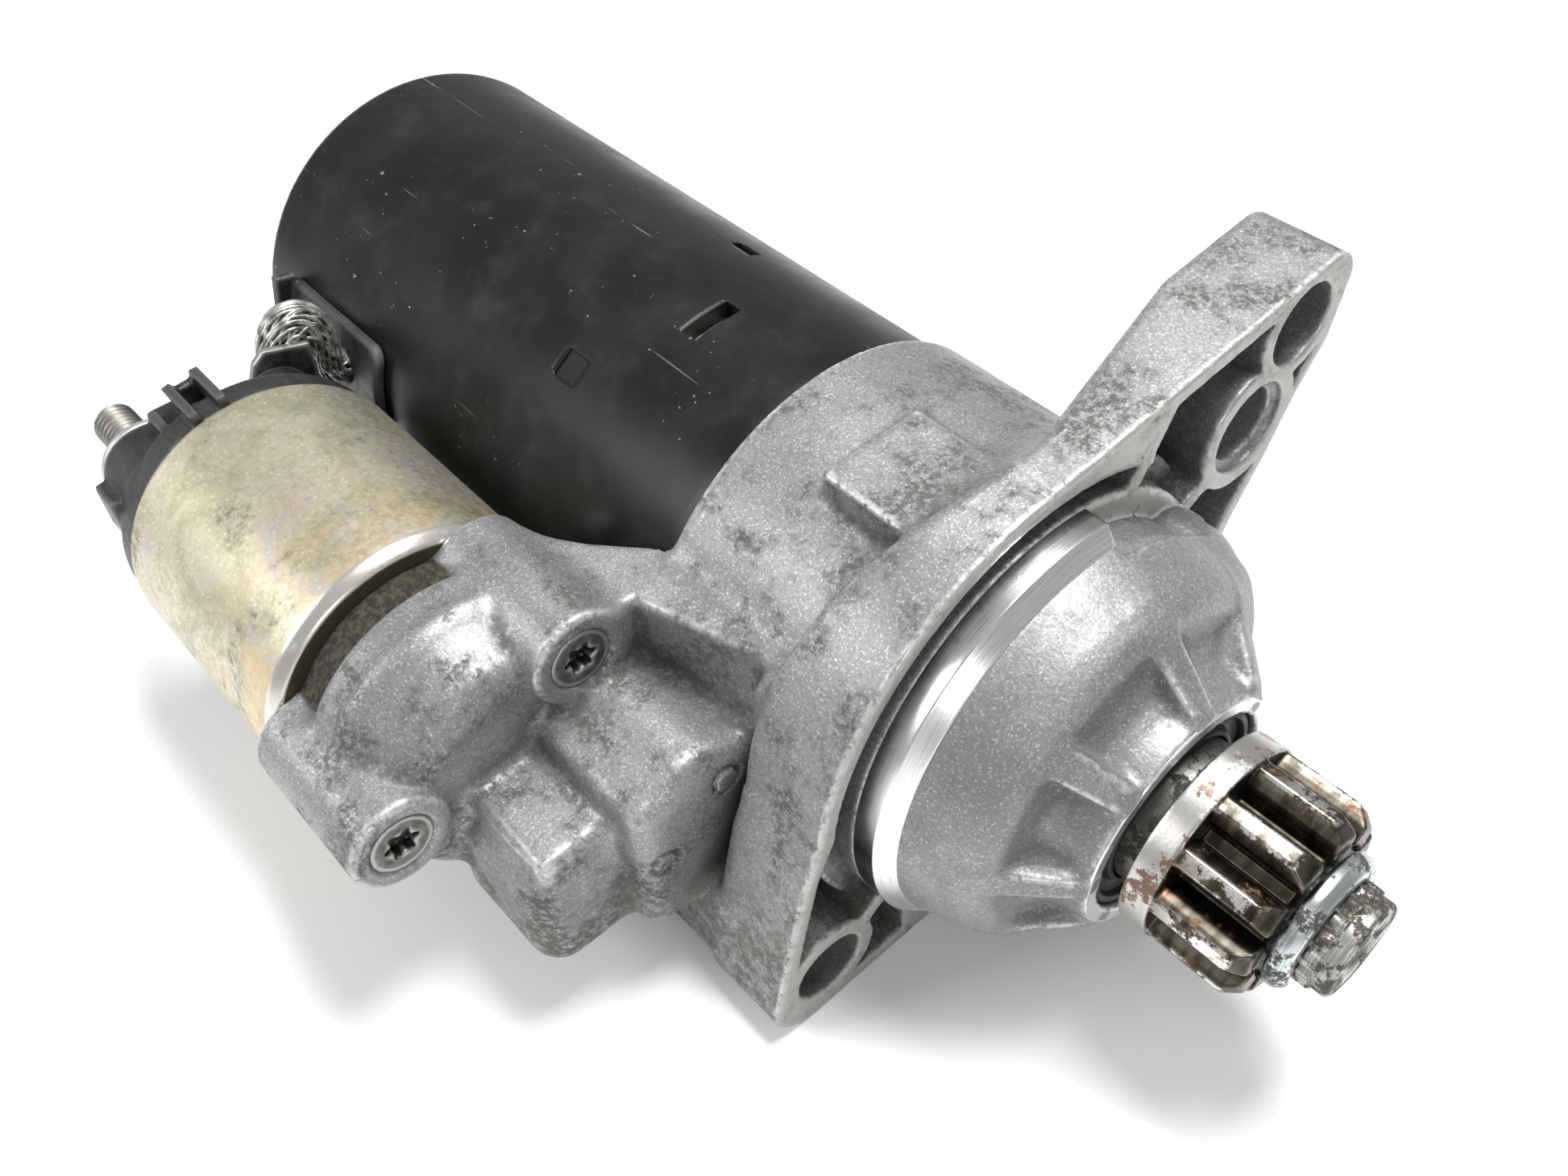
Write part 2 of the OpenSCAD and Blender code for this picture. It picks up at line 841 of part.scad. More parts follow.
module fork_lever() {
    color([0.75, 0.72, 0.62])
        difference() {
            union() {
                for (side = [-1, 1]) {
                    lever_arm(fork_tip, fork_root, 3, 3.4,
                        side > 0 ? prong_z : -prong_z - prong_t, side > 0 ? prong_z + prong_t : -prong_z);
                    translate([fork_tip[0], fork_tip[1], side > 0 ? 11.2 : -prong_z - 0.1])
                        cylinder(r = 2.1, h = prong_z - 11.1);
                }
                translate([fork_root[0] - 3, fork_root[1] - 3, -prong_z - prong_t])
                    cube([6, 6, 2 * (prong_z + prong_t)]);
                lever_arm(pivot, fork_root, 6.2, 3.4, -7, 4.6);
                lever_arm(pivot, plunger_pin, 2.8, 2.6, -4.9, -1.5);
            }
            translate([pivot[0], pivot[1], -20])
                cylinder(r = 3.05, h = 40);
        }
}

module lever_pin() {
    color("silver")
        translate([pivot[0], pivot[1], -18.5])
            cylinder(r = 3, h = 24.5);
}

// ======== solenoid ========

module solenoid_can() {
    color([0.72, 0.68, 0.48])
        difference() {
            union() {
                rod(can_x0, can_x1 - 1.2, can_r, can_y);
                taper(can_x1 - 1.2, can_x1, can_r, can_r - 1, can_y);
            }
            rod(can_x0 - 1, can_x1 - 4, can_r - 1.8, can_y);
            rod(can_x1 - 5, can_x1 + 1, 9.1, can_y);
            at_screws() rod(can_x1 - 5, can_x1 + 1, 2.5);
        }
}

cap_x = can_x0 - 12.5;
chamber_r = 20.8;
spade_y = -85.5;

module solenoid_cap() {
    color([0.07, 0.07, 0.07])
        difference() {
            union() {
                rod(can_x0 - 1, can_x0 + 3, can_r - 1.9, can_y);
                rod(can_x0 - 6, can_x0, can_r - 0.8, can_y);
                taper(cap_x, can_x0 - 6, 20.5, can_r - 1.6, can_y);
                // fins along the side that faces the lead
                for (fin = [[92, 27.9], [103, 27.9], [114, 25.8]])
                    translate([0, can_y, 0])
                        rotate([fin[0], 0, 0])
                            block([can_x0 - 11.5, 18, -1.1], [can_x0 - 0.6, fin[1], 1.1]);
                translate([0, can_y, 0])
                    rotate([97.5, 0, 0])
                        block([can_x0 - 11.3, 18, -2.5], [can_x0 - 9.5, 26.8, 2.5]);
                rod(cap_x - 2.5, can_x0 - 5, 8.6, stud_y, stud_z);
                rod(cap_x - 1.5, can_x0 - 5, 7.4, motor_y, motor_z);
            }
            // contact chamber
            rod(cap_x + 3, can_x0 + 4, chamber_r, can_y);
            block([-140, spade_y, -5], [-120, spade_y + 0.8, 1.3]);
            rod(cap_x - 4, cap_x + 4, stud_core, stud_y, stud_z);
            rod(cap_x - 3, cap_x + 4, 4, motor_y, motor_z);
        }
}

// the stud inside its nut is drawn at the core of the thread
stud_core = 3.4;
stud_y = can_y - 13;
stud_z = 11;
motor_y = can_y + 11;
motor_z = 11.5;

module solenoid_coil() {
    color([0.7, 0.35, 0.15])
        tube(-116, -78, 23.5, 11.6, can_y);
}

module solenoid_bobbin() {
    color([0.85, 0.85, 0.8])
        difference() {
            union() {
                rod(-117.8, -76, 11.5, can_y);
                rod(-117.8, -116.1, 24.3, can_y);
                rod(-77.9, -76, 24.3, can_y);
            }
            rod(-119, -75, 10.2, can_y);
            at_screws() rod(-79, -75, 2.7);
        }
}

module fixed_core() {
    color("gray")
        tube(-117.5, -98.5, 10.1, 2.6, can_y);
}

module plunger() {
    color("silver")
        difference() {
            union() {
                rod(-88, -66, 9, can_y);
                rod(-66.1, -28.8, 7, can_y);
            }
            // flat on top of the tongue
            block([-49.4, can_y - 10, -1.2], [-20, can_y + 10, 10]);
            // notch for the lever's rounded end
            block([plunger_pin[0] - 4.2, can_y - 3.4, -5.3], [plunger_pin[0] + 4.9, can_y + 12, 5]);
        }
}

module return_spring() {
    color("silver")
        translate([0, can_y, 0])
            coil_spring(-71.2, -50.5, 10.4, 0.8, 6);
}

module contact_rod() {
    color("silver")
        rod(-125.9, -96.2, 2.5, can_y);
}

module contact_bridge() {
    color("peru")
        difference() {
            rod(-126, -123.6, 19.8, can_y);
            block([-130, can_y - 20, -21], [-120, can_y + 20, -5]);
            rod(-127, -120, 2.5, can_y);
        }
}

module contact_spring() {
    color("silver")
        translate([0, can_y, 0])
            coil_spring(-123.4, -117.7, 4.2, 0.5, 3, 5, 10);
}

module battery_stud() {
    color([0.5, 0.45, 0.35])
        union() {
            rod(-152, cap_x - 5.8, 4, stud_y, stud_z);
            rod(-141, -128.6, stud_core, stud_y, stud_z);
        }
}

module battery_nut() {
    color("gray")
        difference() {
            union() {
                rod(cap_x - 4, cap_x - 2.5, 8.4, stud_y, stud_z);
                rod(cap_x - 5.6, cap_x - 3.9, 6.4, stud_y, stud_z);
            }
            rod(cap_x - 10, cap_x, stud_core, stud_y, stud_z);
        }
}

module motor_stud() {
    color([0.5, 0.45, 0.35])
        rod(cap_x - 3, -128.6, 4, motor_y, motor_z);
}

// Strap from the motor stud up to the braid
module lead_tab() {
    color([0.2, 0.19, 0.18])
        difference() {
            yz(cap_x - 3.2, 1.6)
                polygon([[motor_y - 5.5, motor_z - 5.5], [motor_y + 5, motor_z - 5.5], [-45.4, 13],
                    [-45.4, 19.6], [-53.9, 22.2], [-56.3, 20.4], [motor_y - 5.5, motor_z]]);
            rod(cap_x - 5, cap_x, 4, motor_y, motor_z);
        }
}

module spade_terminal() {
    color("silver")
        block([-143.5, spade_y, -5], [-129, spade_y + 0.8, 1.3]);
}

module solenoid_screws() {
    color([0.15, 0.15, 0.15])
        at_screws()
            difference() {
                union() {
                    rod(can_x1 - 4.5, screw_face - 2.5, 2.5);
                    taper(screw_face - 3, screw_face - 0.2, 2.6, 5.5);
                }
                translate([screw_face - 2.2, 0, 0])
                    rotate([0, 90, 0])
                        for (k = [0 : 2])
                            rotate([0, 0, 60 * k])
                                translate([-2.3, -0.8, 0])
                                    cube([4.6, 1.6, 3]);
            }
}

// ======== lead ========

module grommet() {
    color([0.05, 0.05, 0.05])
        difference() {
            union() {
                intersection() {
                    tube(-162, -126.5, yoke_r + 2.2, yoke_r + 0.02);
                    rotate([lead_a, 0, 0])
                        block([-163, 30, -10], [-126, 45, 10]);
                }
                rotate([lead_a, 0, 0]) {
                    block([-145.8, 34, -4.8], [-133.2, 40, 4.8]);
                    block([-160.5, 38.6, -10], [-158.3, 43, 8]);
                }
            }
            rotate([lead_a, 0, 0])
                translate([-139.5, 30, 0])
                    rotate([-90, 0, 0])
                        cylinder(r = lead_r + 0.1, h = 16);
        }
}

module braided_lead() {
    color([0.6, 0.6, 0.56])
        sweep(lead_route, lead_r);
}

drive_end_housing();
yoke();
rear_cover();
rear_bush();
bearing_cap();
cap_screws();
through_bolts();
magnets();
armature_shaft();
armature_core();
armature_windings();
commutator();
brush_plate();
brushes();
brush_springs();
sun_gear();
ring_gear();
cover_plate();
planet_gear_1();
planet_gear_2();
planet_gear_3();
planet_bushes();
planet_carrier();
planet_pins();
support_plate();
output_shaft();
clutch_driver();
clutch_shell();
clutch_rollers();
clutch_cover();
pinion_shaft();
pinion();
stop_ring();
retaining_ring();
nose_bearing();
shaft_seal();
fork_lever();
lever_pin();
solenoid_can();
solenoid_cap();
solenoid_coil();
solenoid_bobbin();
fixed_core();
plunger();
return_spring();
contact_rod();
contact_bridge();
contact_spring();
battery_stud();
battery_nut();
motor_stud();
lead_tab();
spade_terminal();
solenoid_screws();
grommet();
braided_lead();
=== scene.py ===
"""Looks of a geared starter motor: metres, +X along the shaft towards the pinion, +Z up."""

import json
import math
import random

import bmesh
import bpy
import numpy as np
import openvdb
from mathutils import Matrix, Vector


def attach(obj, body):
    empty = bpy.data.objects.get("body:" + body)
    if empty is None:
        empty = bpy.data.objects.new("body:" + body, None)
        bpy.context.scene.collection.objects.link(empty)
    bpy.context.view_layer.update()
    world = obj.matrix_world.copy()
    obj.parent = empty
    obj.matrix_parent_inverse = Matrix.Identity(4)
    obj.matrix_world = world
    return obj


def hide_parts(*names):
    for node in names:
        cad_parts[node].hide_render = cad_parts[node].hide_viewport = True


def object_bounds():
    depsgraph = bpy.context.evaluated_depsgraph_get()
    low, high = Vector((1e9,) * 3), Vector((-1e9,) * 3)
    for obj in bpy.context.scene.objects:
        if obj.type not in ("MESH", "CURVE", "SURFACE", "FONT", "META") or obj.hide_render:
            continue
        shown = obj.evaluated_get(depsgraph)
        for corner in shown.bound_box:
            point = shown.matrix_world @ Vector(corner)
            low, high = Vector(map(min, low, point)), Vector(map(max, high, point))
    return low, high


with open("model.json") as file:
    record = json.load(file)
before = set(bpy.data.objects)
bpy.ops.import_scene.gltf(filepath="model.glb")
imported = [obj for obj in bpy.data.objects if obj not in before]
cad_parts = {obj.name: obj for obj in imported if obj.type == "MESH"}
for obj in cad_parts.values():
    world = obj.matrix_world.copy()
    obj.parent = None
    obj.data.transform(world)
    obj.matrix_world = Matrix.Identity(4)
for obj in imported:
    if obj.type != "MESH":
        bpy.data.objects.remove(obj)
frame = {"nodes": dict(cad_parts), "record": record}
cad_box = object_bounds()
nodes = frame["nodes"]

MM = 0.001
WELD = 1e-6
BACKGROUND = 10.0
# how far round a point its bend is measured, in mm and at least in grid steps
BENDS = (("edge", 0.9, 1), ("hollow", 2.6, 2), ("deep", 6.0, 3))

CAMERA_PLACE = (0.0827, -0.1164, 0.1819)
CAMERA_RIGHT = (0.6667, 0.7443, -0.0392)
CAMERA_BACK = (0.5186, -0.4255, 0.7416)
SENSOR_MM, LENS_MM = 36, 33.38

# name, place, size and power
LIGHTS = (("key", (-0.02, 0.12, 0.62), (0.32, 0.22), 6.4),
          ("left", (-0.35, -0.55, 0.4), (0.3, 0.3), 2.4),
          ("front", (0.5, -0.35, 0.3), (0.2, 0.2), 0.7))
LIT_POINT = (-0.05, -0.02, 0.0)
SKY_STRENGTH = 0.48


# --- sizes shared with the CAD, in mm

# motor body and the spigot that it sits on
YOKE_R = 38.0
YOKE_X0, YOKE_X1 = -171.5, -46.4
FIT_R = 34.8
# flange: rim, its wall, flat foot, bolt holes and the round pocket in the upper ear
RIM_R = 45.0
RIM_WALL = 3.0
FOOT_Z = -41.5
SLEEVE_R = 39.4
SPIGOT_R = 38.3
SPIGOT_GAP = (34, 80)
BOLT_R = 6.5
HOLE_UP, HOLE_LOW = (47.5, 27.0), (-43.5, -30.5)
POCKET_UP = (56.0, 42.5)
# solenoid: can, screws and terminals
CAN_Y = -66.0
CAN_R = 26.5
CAN_X0, CAN_X1 = -121.0, -71.5
SCREW_FACE = -43.0
SCREW_RING = 21.3
SCREW_ANGLES = (51, 171, 291)
BATTERY_STUD, MOTOR_STUD = (-79.0, 11.0), (-55.0, 11.5)
STUD_R, THREAD_PITCH = 4.0, 1.25
# casting: least wall, nose ribs and the through-bolts' ways
SKIN = 1.2
NOSE_RIBS, NOSE_RIB_ANGLE = 8, 41
BOLT_ANGLES = (60, 240)
BOLT_RING = 31.6
# drive end
PINION_X0, PINION_X1 = 31.2, 50.8
PINION_TEETH = 11
PINION_TIP_R = 16.5
SHAFT_X1 = 59.4
# lead: angle of its way out of the motor body, radius of the braid
LEAD_ANGLE = 168
LEAD_R = 3.4


# --- camera, floor, light

def set_camera():
    """The photograph's viewpoint."""
    right = Vector(CAMERA_RIGHT).normalized()
    back = Vector(CAMERA_BACK).normalized()
    up = back.cross(right).normalized()
    right = up.cross(back)
    data = bpy.data.cameras.new("camera")
    data.sensor_width = SENSOR_MM
    data.lens = LENS_MM
    data.clip_start = 0.01
    camera = bpy.data.objects.new("camera", data)
    turn = Matrix((right, up, back)).transposed().to_4x4()
    camera.matrix_world = Matrix.Translation(Vector(CAMERA_PLACE)) @ turn
    bpy.context.scene.collection.objects.link(camera)
    bpy.context.scene.camera = camera


def area_light(name, position, size, power):
    """A rectangular light that faces the motor."""
    direction = Vector(LIT_POINT) - Vector(position)
    turn = direction.to_track_quat("-Z", "Y").to_matrix().to_4x4()
    data = bpy.data.lights.new(name, "AREA")
    data.shape = "RECTANGLE"
    data.size, data.size_y = size
    data.energy = power
    light = bpy.data.objects.new(name, data)
    light.matrix_world = Matrix.Translation(position) @ turn
    bpy.context.scene.collection.objects.link(light)


def set_stage():
    """A pale floor under the foot edge of the flange, and soft studio light."""
    floor_z = cad_box[0][2]
    mesh = bpy.data.meshes.new("floor")
    side = 3.0
    corners = [(-side, -side), (side, -side), (side, side), (-side, side)]
    mesh.from_pydata([(x, y, floor_z) for x, y in corners], [], [(0, 1, 2, 3)])
    floor = bpy.data.objects.new("floor", mesh)
    bpy.context.scene.collection.objects.link(floor)
    material = bpy.data.materials.new("floor")
    material.use_nodes = True
    shader = material.node_tree.nodes["Principled BSDF"]
    shader.inputs["Base Color"].default_value = (0.9, 0.9, 0.9, 1)
    shader.inputs["Roughness"].default_value = 0.7
    shader.inputs["Specular IOR Level"].default_value = 0.2
    mesh.materials.append(material)

    world = bpy.data.worlds.new("studio")
    world.use_nodes = True
    world.node_tree.nodes["Background"].inputs["Color"].default_value = (1, 1, 1, 1)
    world.node_tree.nodes["Background"].inputs["Strength"].default_value = SKY_STRENGTH
    bpy.context.scene.world = world
    for light in LIGHTS:
        area_light(*light)
    bpy.context.scene.view_settings.view_transform = "Standard"


# --- solid shapes on a grid, in mm

def fuse(a, b, k):
    """Two solids joined, with a fillet of about k."""
    h = np.clip(0.5 + 0.5 * (b - a) / k, 0, 1)
    return b + (a - b) * h - k * h * (1 - h)


def soft_max(a, b, k):
    return -fuse(-a, -b, k)


def meet(a, b, soft):
    """Where two fields meet, an edge rounded by soft."""
    a, b = a + soft, b + soft
    return np.minimum(np.maximum(a, b), 0) + np.hypot(np.maximum(a, 0), np.maximum(b, 0)) - soft


def join(solid, *others):
    for other in others:
        solid = np.minimum(solid, other)
    return solid


def cut(solid, *tools):
    for tool in tools:
        solid = np.maximum(solid, -tool)
    return solid


def slab(u, low, high):
    """Negative between two levels."""
    return np.maximum(low - u, u - high)


def outline(u, v, points):
    """Signed distance to a closed outline."""
    points = np.array(points, dtype=np.float32)
    best = np.full(np.broadcast(u, v).shape, 1e9, dtype=np.float32)
    inside = np.zeros(best.shape, dtype=bool)
    for (au, av), (bu, bv) in zip(points, np.roll(points, -1, axis=0)):
        eu, ev = bu - au, bv - av
        wu, wv = u - au, v - av
        t = np.clip((wu * eu + wv * ev) / (eu * eu + ev * ev), 0, 1)
        best = np.minimum(best, (wu - eu * t) ** 2 + (wv - ev * t) ** 2)
        crosses = (av > v) != (bv > v)
        if ev != 0:
            inside ^= crosses & (u < au + eu * (v - av) / ev)
    return np.where(inside, -1, 1) * np.sqrt(best)


def corner_arc(centre, radius, start, end):
    """Nine points along an arc between two angles in degrees."""
    angles = np.radians(np.linspace(start, end, 9))
    return [(centre[0] + radius * math.cos(a), centre[1] + radius * math.sin(a)) for a in angles]


class Field:
    """Signed distances on a box of points; negative is inside the material."""

    def __init__(self, low, high, step):
        self.step = step
        self.low = np.array(low, dtype=np.float32)
        axes = [np.arange(a, b + step, step, dtype=np.float32) for a, b in zip(low, high)]
        self.x = axes[0][:, None, None]
        self.y = axes[1][None, :, None]
        self.z = axes[2][None, None, :]
        self.shape = tuple(len(a) for a in axes)

    def rho(self, y=0.0, z=0.0):
        return np.hypot(self.y - y, self.z - z)

    def drum(self, x0, x1, r, y=0.0, z=0.0, soft=0.0):
        return meet(self.rho(y, z) - r, slab(self.x, x0, x1), soft)

    def cone(self, x0, x1, r0, r1, y=0.0, z=0.0, soft=0.0):
        slope = (r1 - r0) / (x1 - x0)
        wall = (self.rho(y, z) - r0 - (self.x - x0) * slope) / math.hypot(1, slope)
        return meet(wall, slab(self.x, x0, x1), soft)

    def turned(self, profile, soft=0.0):
        """Solid of revolution given by (x, radius) points with x growing."""
        xs, rs = zip(*profile)
        radius = np.interp(self.x[:, 0, 0], xs, rs).astype(np.float32)
        slope = np.gradient(radius, self.step)
        wall = (self.rho() - radius[:, None, None]) / np.hypot(1, slope)[:, None, None]
        return meet(wall, slab(self.x, xs[0], xs[-1]), soft)

    def box(self, low, high, soft=0.0):
        parts = [np.maximum(a - u, u - b) + soft for u, a, b in zip((self.x, self.y, self.z), low, high)]
        outside = np.sqrt(sum(np.maximum(p, 0) ** 2 for p in parts))
        inside = np.minimum(np.maximum(np.maximum(parts[0], parts[1]), parts[2]), 0)
        return outside + inside - soft

    def prism_x(self, points, x0, x1, soft=0.0):
        flat = outline(self.y[0], self.z[0], points)[None]
        return meet(flat, slab(self.x, x0, x1), soft)

    def prism_z(self, points, z0, z1, soft=0.0):
        flat = outline(self.x[:, :, 0], self.y[:, :, 0], points)[:, :, None]
        return meet(flat, slab(self.z, z0, z1), soft)

    def turned_about(self, angle, y=0.0):
        """Coordinates along and across a direction at this angle round a line parallel to the shaft."""
        c, s = math.cos(math.radians(angle)), math.sin(math.radians(angle))
        return (self.y - y) * c + self.z * s, self.z * c - (self.y - y) * s

    def sample(self, values, points):
        """Values at points in mm, by the nearest eight."""
        place = (points - self.low) / self.step
        base = np.clip(np.floor(place).astype(int), 0, np.array(self.shape) - 2)
        part = place - base
        total = np.zeros(len(points))
        for corner in range(8):
            bits = np.array([corner >> 2 & 1, corner >> 1 & 1, corner & 1])
            weight = np.prod(np.where(bits, part, 1 - part), axis=1)
            total += weight * values[tuple((base + bits).T)]
        return total


def blurred(values, reach):
    """Mean over a cube of 2 reach + 1 points a side."""
    for axis in range(3):
        padded = np.concatenate([np.repeat(values.take([0], axis), reach + 1, axis), values,
                                 np.repeat(values.take([-1], axis), reach, axis)], axis).cumsum(axis)
        count = values.shape[axis]
        span = 2 * reach + 1
        upper = padded.take(range(span, span + count), axis)
        values = (upper - padded.take(range(count), axis)) / span
    return values


# --- pieces

def add_piece(name, points, faces, material, replaces=(), body="case"):
    mesh = bpy.data.meshes.new(name)
    mesh.from_pydata(points, [], faces)
    mesh.validate()
    mesh.update()
    piece = bpy.data.objects.new(name, mesh)
    bpy.context.scene.collection.objects.link(piece)
    mesh.materials.append(looks[material])
    mesh.shade_smooth()
    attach(piece, body)
    if replaces:
        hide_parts(*replaces)
    return piece


def add_field_piece(name, field, values, material, replaces=(), body="case"):
    """Meshes a field; stores how convex each point is in the attributes named in BENDS."""
    values = np.broadcast_to(values, field.shape).astype(np.float32)
    grid = openvdb.FloatGrid(background=BACKGROUND)
    grid.copyFromArray(np.ascontiguousarray(values))
    points, quads = grid.convertToQuads(isovalue=0.0)
    spots = points * field.step + field.low
    faces = quads[:, ::-1].tolist()
    piece = add_piece(name, (spots * MM).tolist(), faces, material, replaces, body)
    mesh = piece.data
    volume = sum(p.center.dot(p.normal) * p.area for p in mesh.polygons)
    if volume < 0:
        mesh.flip_normals()
    near = np.clip(values, -8, 8)
    for label, reach_mm, least in BENDS:
        reach = max(least, round(reach_mm / field.step))
        bend = field.sample(blurred(near, reach) - near, spots) / (reach * field.step)
        layer = mesh.attributes.new(label, "FLOAT", "POINT")
        layer.data.foreach_set("value", bend.astype(np.float32))


def rounded_profile(profile, radius):
    """Rounds the corners of a closed (x, radius) outline."""
    steps = 3
    made = []
    count = len(profile)
    for i in range(count):
        before, here, after = (Vector(profile[(i + k) % count]) for k in (-1, 0, 1))
        reach = min(radius, (before - here).length / 2.5, (after - here).length / 2.5)
        a = here + (before - here).normalized() * reach
        b = here + (after - here).normalized() * reach
        for k in range(steps + 1):
            t = k / steps
            made.append(tuple(a * (1 - t) ** 2 + here * 2 * t * (1 - t) + b * t * t))
    # rings close to each rounded corner keep the flats flat when shaded
    held = []
    for here, after in zip(made, made[1:] + made[:1]):
        held.append(here)
        span = Vector(after) - Vector(here)
        if span.length > 4 * radius:
            reach = span.normalized() * radius * 0.7
            held += [tuple(Vector(here) + reach), tuple(Vector(after) - reach)]
    return held


def add_turned(name, profile, material, replaces=(), y=0.0, soft=0.25, sides=192, body="case"):
    """A piece turned about a line parallel to the shaft, from a closed (x, radius) outline."""
    ring = rounded_profile(profile, soft)
    count = len(ring)
    points = []
    for k in range(sides):
        angle = 2 * math.pi * k / sides
        c, s = math.cos(angle), math.sin(angle)
        points += [(x * MM, (y + r * c) * MM, r * s * MM) for x, r in ring]
    faces = []
    for k in range(sides):
        a, b = k * count, (k + 1) % sides * count
        faces += [(a + i, a + (i + 1) % count, b + (i + 1) % count, b + i) for i in range(count)]
    piece = add_piece(name, points, faces, material, replaces, body)
    clean(piece)
    return piece


def clean(piece):
    """Welds, drops slivers and turns the faces outwards."""
    work = bmesh.new()
    work.from_mesh(piece.data)
    bmesh.ops.remove_doubles(work, verts=work.verts, dist=WELD)
    bmesh.ops.dissolve_degenerate(work, edges=work.edges, dist=WELD)
    bmesh.ops.recalc_face_normals(work, faces=work.faces)
    work.to_mesh(piece.data)
    work.free()
    piece.data.shade_smooth()


def cut_boxes(piece, boxes):
    """Cuts rotated boxes (centre, size, angle about X in degrees), in mm, out of a piece."""
    for centre, size, angle in boxes:
        work = bmesh.new()
        bmesh.ops.create_cube(work, size=1.0)
        place = (Matrix.Rotation(math.radians(angle), 4, "X") @ Matrix.Translation(Vector(centre) * MM)
                 @ Matrix.Diagonal((*(Vector(size) * MM), 1)))
        bmesh.ops.transform(work, matrix=place, verts=work.verts)
        mesh = bpy.data.meshes.new("cutter")
        work.to_mesh(mesh)
        work.free()
        cutter = bpy.data.objects.new("cutter", mesh)
        bpy.context.scene.collection.objects.link(cutter)
        modifier = piece.modifiers.new("cut", "BOOLEAN")
        modifier.object = cutter
        modifier.solver = "EXACT"
        graph = bpy.context.evaluated_depsgraph_get()
        result = bpy.data.meshes.new_from_object(piece.evaluated_get(graph))
        piece.modifiers.clear()
        piece.data = result
        bpy.data.objects.remove(cutter)


# --- materials

class Look:
    """A node material built up by short calls; coordinates are the piece's own metres."""

    def __init__(self, name, metallic=0.0, roughness=0.5, specular=0.5):
        self.material = bpy.data.materials.new(name)
        self.material.use_nodes = True
        self.tree = self.material.node_tree
        self.shader = self.tree.nodes["Principled BSDF"]
        self.tune(self.shader, {"Metallic": metallic, "Roughness": roughness,
                                "Specular IOR Level": specular})
        self.place = self.node("ShaderNodeTexCoord").outputs["Object"]
        self.height = None
        self.base = None

    def node(self, kind, **values):
        made = self.tree.nodes.new(kind)
        for key, value in values.items():
            setattr(made, key, value)
        return made

    def tune(self, made, values):
        for key, value in values.items():
            made.inputs[key].default_value = value

    def link(self, a, b):
        self.tree.links.new(a, b)

    def put(self, socket, value):
        if hasattr(value, "is_linked"):
            self.link(value, socket)
        else:
            socket.default_value = value

    def stretched(self, scale, rotation=(0, 0, 0)):
        mapping = self.node("ShaderNodeMapping")
        self.tune(mapping, {"Scale": scale, "Rotation": rotation})
        self.link(self.place, mapping.inputs["Vector"])
        return mapping.outputs["Vector"]

    def noise(self, size_mm, detail=4.0, rough=0.55, place=None, distortion=0.0):
        made = self.node("ShaderNodeTexNoise")
        self.tune(made, {"Scale": 1 / (size_mm * MM), "Detail": detail, "Roughness": rough,
                         "Distortion": distortion})
        self.link(place or self.place, made.inputs["Vector"])
        return made.outputs["Fac"]

    def cells(self, size_mm):
        """A different random number in every cell."""
        made = self.node("ShaderNodeTexVoronoi", feature="F1")
        self.tune(made, {"Scale": 1 / (size_mm * MM)})
        self.link(self.place, made.inputs["Vector"])
        split = self.node("ShaderNodeSeparateColor")
        self.link(made.outputs["Color"], split.inputs["Color"])
        return split.outputs["Red"]

    def ramp(self, value, low, high):
        """0 below low, 1 above high."""
        made = self.node("ShaderNodeMapRange", interpolation_type="SMOOTHSTEP")
        self.tune(made, {"From Min": low, "From Max": high})
        self.link(value, made.inputs["Value"])
        return made.outputs["Result"]

    def below(self, value, low, high):
        """1 below low, 0 above high."""
        return self.math("SUBTRACT", 1.0, self.ramp(value, low, high))

    def clouds(self, size_mm, detail, rough, low, high):
        """Patches of about this size, with edges between two levels of the noise."""
        return self.ramp(self.noise(size_mm, detail, rough), low, high)

    def math(self, operation, a, b=0.0):
        made = self.node("ShaderNodeMath", operation=operation)
        self.put(made.inputs[0], a)
        self.put(made.inputs[1], b)
        return made.outputs["Value"]

    def times(self, *values):
        total = values[0]
        for value in values[1:]:
            total = self.math("MULTIPLY", total, value)
        return total

    def mix(self, factor, a, b, kind="RGBA"):
        made = self.node("ShaderNodeMix", data_type=kind)
        for name, value in (("Factor", factor), ("A", a), ("B", b)):
            self.put(made.inputs[name], value)
        return made.outputs["Result"]

    def blend(self, factor, a, b):
        return self.mix(factor, a, b, "FLOAT")

    def axis(self, which):
        made = self.node("ShaderNodeSeparateXYZ")
        self.link(self.place, made.inputs["Vector"])
        return made.outputs[which]

    def from_axis(self, y_mm=0.0):
        """Distance from a line along X."""
        y = self.math("SUBTRACT", self.axis("Y"), y_mm * MM)
        z = self.axis("Z")
        return self.math("SQRT", self.math("ADD", self.times(y, y), self.times(z, z)))

    def bend(self, name, low, high):
        """From one level to another of an attribute named in BENDS: outwards above 0, hollow below."""
        return self.ramp(self.node("ShaderNodeAttribute", attribute_name=name).outputs["Fac"], low, high)

    def over(self, factor, tint, amount=None):
        """Lays a tint over the base colour, all of it or an amount of it."""
        if amount is not None:
            factor = self.times(factor, amount)
        self.base = self.mix(factor, self.base, tint)

    def colour(self):
        self.put(self.shader.inputs["Base Color"], self.base)

    def roughness(self, value):
        self.put(self.shader.inputs["Roughness"], value)

    def metallic(self, value):
        self.put(self.shader.inputs["Metallic"], value)

    def bump(self, value, depth_mm, strength=1.0):
        made = self.node("ShaderNodeBump")
        self.tune(made, {"Strength": strength, "Distance": depth_mm * MM})
        self.link(value, made.inputs["Height"])
        if self.height is not None:
            self.link(self.height, made.inputs["Normal"])
        self.height = made.outputs["Normal"]
        self.link(self.height, self.shader.inputs["Normal"])


